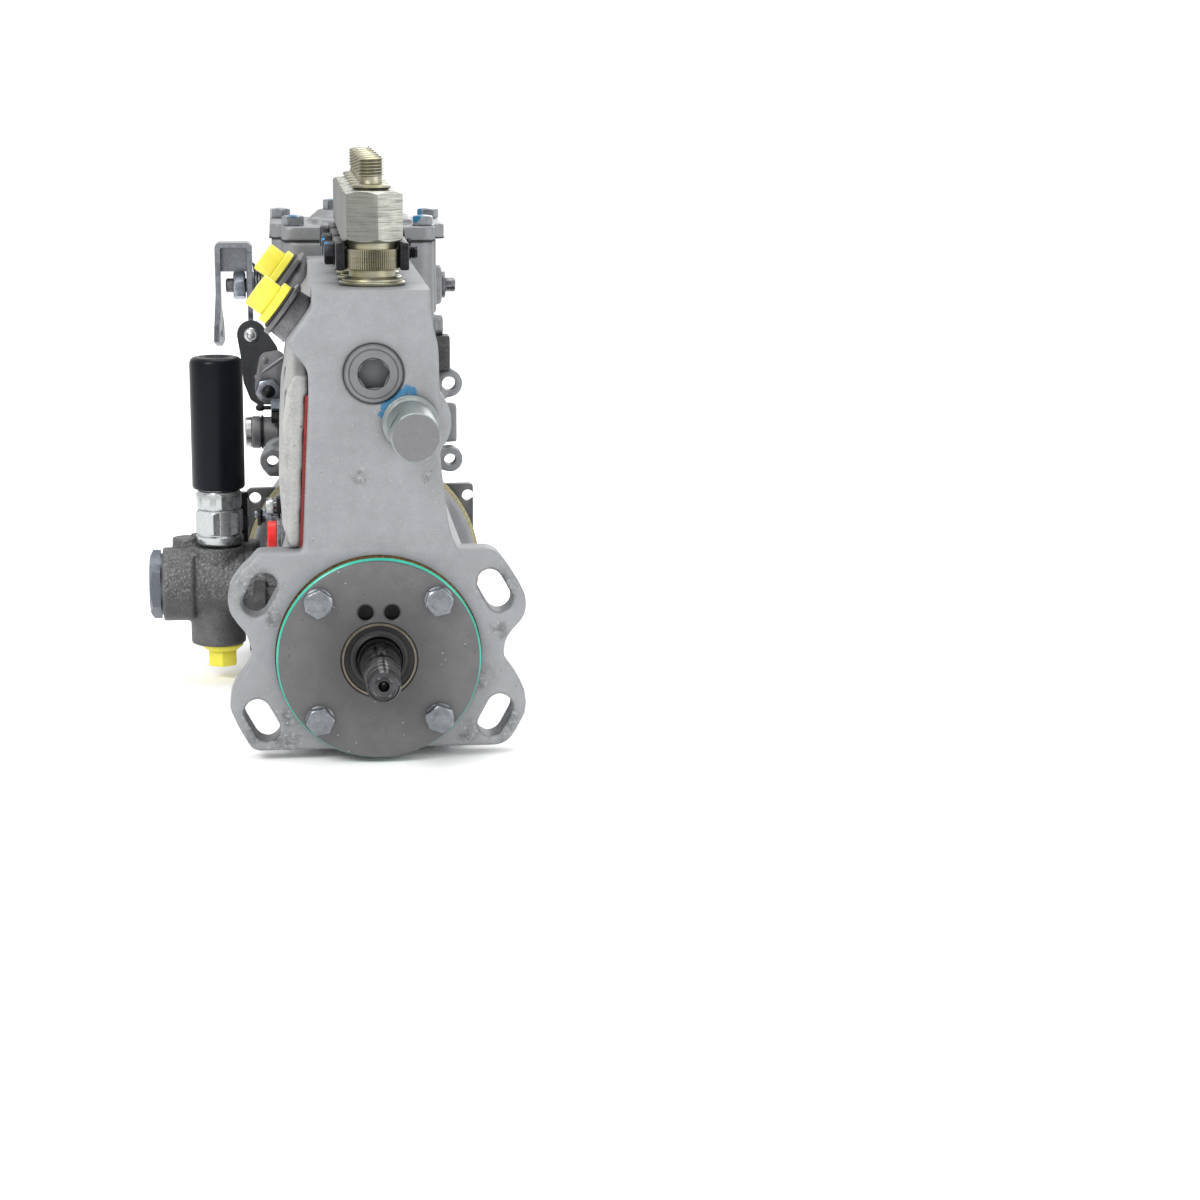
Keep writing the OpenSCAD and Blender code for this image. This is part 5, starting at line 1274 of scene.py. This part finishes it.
class PUMP_OT_torque_capsule(bpy.types.Operator):
    """Turned capsule on the governor's side, with its lock nut"""
    bl_idname = "pump.torque_capsule"
    bl_label = "Torque capsule"

    def execute(self, context):
        capsule = turned_x([(0, -38), (7.9, -38), (7.9, -46), (8.8, -46.6), (8.8, -55.6), (8.4, -56), (9, -56.3),
                            (9.2, -57), (9.2, -60.6), (8.6, -61.4), (0, -61.4)], *CAPSULE)
        capsule.piece("capsule_body", "zinc_steel", ["torque_capsule"], look="bracket")
        ring = turned_x([(0, -61.2), (8.2, -61.2), (9, -61.6), (9, -64.4), (8.2, -65.2), (5, -65.4), (4.6, -64.8),
                         (0, -64.8)], *CAPSULE)
        ring.piece("capsule_end", "zinc_steel", look="chrome")
        clip = turned_x(rectangle(8.7, -55.9, 9.6, -54.6), *CAPSULE, ring=True)
        clip.piece("capsule_clip", "black_steel")
        return {"FINISHED"}


class PUMP_OT_side_fittings(bpy.types.Operator):
    """Small screws, nuts and the bracket on the left side"""
    bl_idname = "pump.side_fittings"
    bl_label = "Side fittings"

    def execute(self, context):
        rim = context.scene.pump_sizes.bolt_rim
        foot = Form.block((-46.4, 111, 38), (-42.4, 118, 52))
        bracket = Form.block((-47.4, 110, 50.6), (-42.6, 119, 58.2)).join(foot)
        bracket.edged(0.5, 2).piece("cover_bracket", "black_steel")
        head = bolt(7.6, 4, 2.4, 3, 12, 0.4, rim).along("-X", (-48.8, 114.5, 54))
        head.piece("bracket_screw", "zinc_steel", look="bright_zinc")
        low = Form.hexagon(6, 0, 4.4, 8, crown=1).join(Form.disc(1.8, -4.4, 8.4, 24)).along("-X", (-50.2, 117, 49.2))
        low.piece("bracket_stud", "zinc_steel", look="blue_zinc")
        clip = turned_x([(2, -57.2), (4.4, -57.2), (4.6, -56.8), (4.6, -55.6), (3.2, -54.6), (3.2, -53.2),
                         (2, -53)], 117, 48, ring=True)
        clip.piece("bracket_clip", "black_steel")
        for name, z, turn, slot, look in (("upper", 87, 10, "zinc_steel", "blue_zinc"),
                                          ("lower", 80.4, 24, "black_steel", "black_steel")):
            screw = Form.hexagon(6.4, 0, 8.4, turn, crown=1).join(Form.disc(4.2, -0.4, 1, 32))
            screw.along("-X", (-41.7, 262, z)).piece("governor_screw_" + name, slot, look=look)
        ball = wire([(-57, 268, 85), (-55.4, 268, 85)], 1.9, 24).join(rod_x(1.2, 268, 85, -56, -41, 20))
        ball.piece("governor_ball_stud", "black_steel")
        stud = rod_z(2.1, -65.4, 190, 21, 47.5, 24).join(Form.hexagon(4.4, 30, 36, 10).move(-65.4, 190, 0),
                                                        rod_z(2.7, -65.4, 190, 46, 49.2, 24))
        stud.piece("feed_pump_stud", "black_steel")
        return {"FINISHED"}


class PUMP_OT_rear_plate(bpy.types.Operator):
    """Support plate behind the joint of the governor"""
    bl_idname = "pump.rear_plate"
    bl_label = "Rear plate"

    def execute(self, context):
        plate = flat_y([(-64.5, BASE), (62.8, BASE), (62.8, 43.4), (60.8, 44.2), (-62.5, 42.8), (-64.5, 41.4)],
                       240, 246, 1.2)
        tools = [flat_disc(60, 238, 248, BASE + 6), Form.block((-41.8, 238, 20), (41.8, 248, 60))]
        tools += [rod_y(3.3, sx * 59.8, z, 238, 248, 32) for sx in (-1, 1) for z in (37.5, -43.2)]
        plate.cut(*tools).edged(0.4, 2, 40).piece("rear_bracket", "phosphated_plate", ["rear_support_plate"])
        return {"FINISHED"}


# ---------------------------------------------------------------- studio

def area_lamp(name, place, size, power):
    data = bpy.data.lights.new(name, "AREA")
    data.energy, data.size = power, size
    lamp = bpy.data.objects.new(name, data)
    lamp.location = place
    lamp.rotation_euler = (Vector(LAMP_AIM) - Vector(place)).to_track_quat("-Z", "Y").to_euler()
    bpy.context.scene.collection.objects.link(lamp)


def camera_lay(yaw, pitch, roll):
    """Turn of the camera: right, up and back as columns."""
    forward = Vector((math.sin(yaw) * math.cos(pitch), math.cos(yaw) * math.cos(pitch), -math.sin(pitch)))
    level = Vector((math.cos(yaw), -math.sin(yaw), 0))
    up = level.cross(forward)
    right = level * math.cos(roll) + up * math.sin(roll)
    return Matrix((right, up * math.cos(roll) - level * math.sin(roll), -forward)).transposed().to_4x4()


LAMPS = {"key": ((-1.1, -1.3, 1.5), 0.9, 30), "fill": ((1.5, -1.2, 0.7), 1.1, 9),
         "top": ((0.1, 0.5, 1.9), 1.2, 16), "back": ((0.6, 1.9, 0.8), 1.0, 9)}
LAMP_AIM = (0, 0.1, 0.08)
WORLD_LIGHT = 1.05
CAMERA_PLACE, CAMERA_LENS = (-0.0414, -1.1826, 0.2707), 76.22
CAMERA_TURNS = (7.1, 11.64, 0.36)


class PUMP_OT_studio(bpy.types.Operator):
    """White floor, soft light and the camera"""
    bl_idname = "pump.studio"
    bl_label = "Studio"

    def execute(self, context):
        scene = context.scene
        low, high = CAD_BOX
        bm = bmesh.new()
        bmesh.ops.create_grid(bm, x_segments=1, y_segments=1, size=scene.pump_sizes.floor_reach)
        bmesh.ops.translate(bm, verts=bm.verts, vec=(0, 0, low[2] - 0.0002))
        mesh = bpy.data.meshes.new("floor")
        bm.to_mesh(mesh)
        bm.free()
        floor = bpy.data.objects.new("floor", mesh)
        scene.collection.objects.link(floor)
        mesh.materials.append(Paint("floor").set(Base_Color=tuple(scene.pump_colours.floor), Roughness=0.9))
        world = bpy.data.worlds.new("studio")
        world.use_nodes = True
        light = world.node_tree.nodes["Background"].inputs
        light["Color"].default_value, light["Strength"].default_value = (1, 1, 1, 1), WORLD_LIGHT
        scene.world = world
        for name, (place, size, power) in LAMPS.items():
            area_lamp(name, place, size, power)
        lens = bpy.data.cameras.new("camera")
        lens.lens, lens.sensor_width, lens.clip_start, lens.clip_end = CAMERA_LENS, 36, 0.01, 200
        camera = bpy.data.objects.new("camera", lens)
        turns = [math.radians(a) for a in CAMERA_TURNS]
        camera.matrix_world = Matrix.Translation(CAMERA_PLACE) @ camera_lay(*turns)
        scene.collection.objects.link(camera)
        scene.camera = camera
        scene.view_settings.view_transform = "Standard"
        return {"FINISHED"}


PIECES = (PUMP_OT_finishes, PUMP_OT_housing, PUMP_OT_end_plate, PUMP_OT_end_plate_bolts, PUMP_OT_shaft_seal,
          PUMP_OT_camshaft, PUMP_OT_rack_cap, PUMP_OT_gallery_plug, PUMP_OT_delivery_holders, PUMP_OT_clamps,
          PUMP_OT_side_cover, PUMP_OT_fuel_unions, PUMP_OT_oil_port, PUMP_OT_feed_pump, PUMP_OT_hand_primer,
          PUMP_OT_governor, PUMP_OT_governor_lid, PUMP_OT_control_lever, PUMP_OT_stop_lever,
          PUMP_OT_torque_capsule, PUMP_OT_side_fittings, PUMP_OT_rear_plate, PUMP_OT_studio)


class PUMP_PT_panel(bpy.types.Panel):
    """Sizes, colours and pieces of the pump"""
    bl_label = "Inline injection pump"
    bl_idname = "PUMP_PT_panel"
    bl_space_type = "VIEW_3D"
    bl_region_type = "UI"
    bl_category = "Pump"

    def draw(self, context):
        for group in (context.scene.pump_sizes, context.scene.pump_colours):
            box = self.layout.box()
            for name in group.__annotations__:
                box.prop(group, name)
        column = self.layout.column()
        for piece in PIECES:
            column.operator(piece.bl_idname)


CLASSES = (PumpSizes, PumpColours, *PIECES, PUMP_PT_panel)


def register():
    for each in CLASSES:
        bpy.utils.register_class(each)
    bpy.types.Scene.pump_sizes = bpy.props.PointerProperty(type=PumpSizes)
    bpy.types.Scene.pump_colours = bpy.props.PointerProperty(type=PumpColours)


def unregister():
    del bpy.types.Scene.pump_colours
    del bpy.types.Scene.pump_sizes
    for each in reversed(CLASSES):
        bpy.utils.unregister_class(each)


def main():
    register()
    for piece in PIECES:
        getattr(bpy.ops.pump, piece.bl_idname.split(".")[1])()


if __name__ == "__main__":
    main()
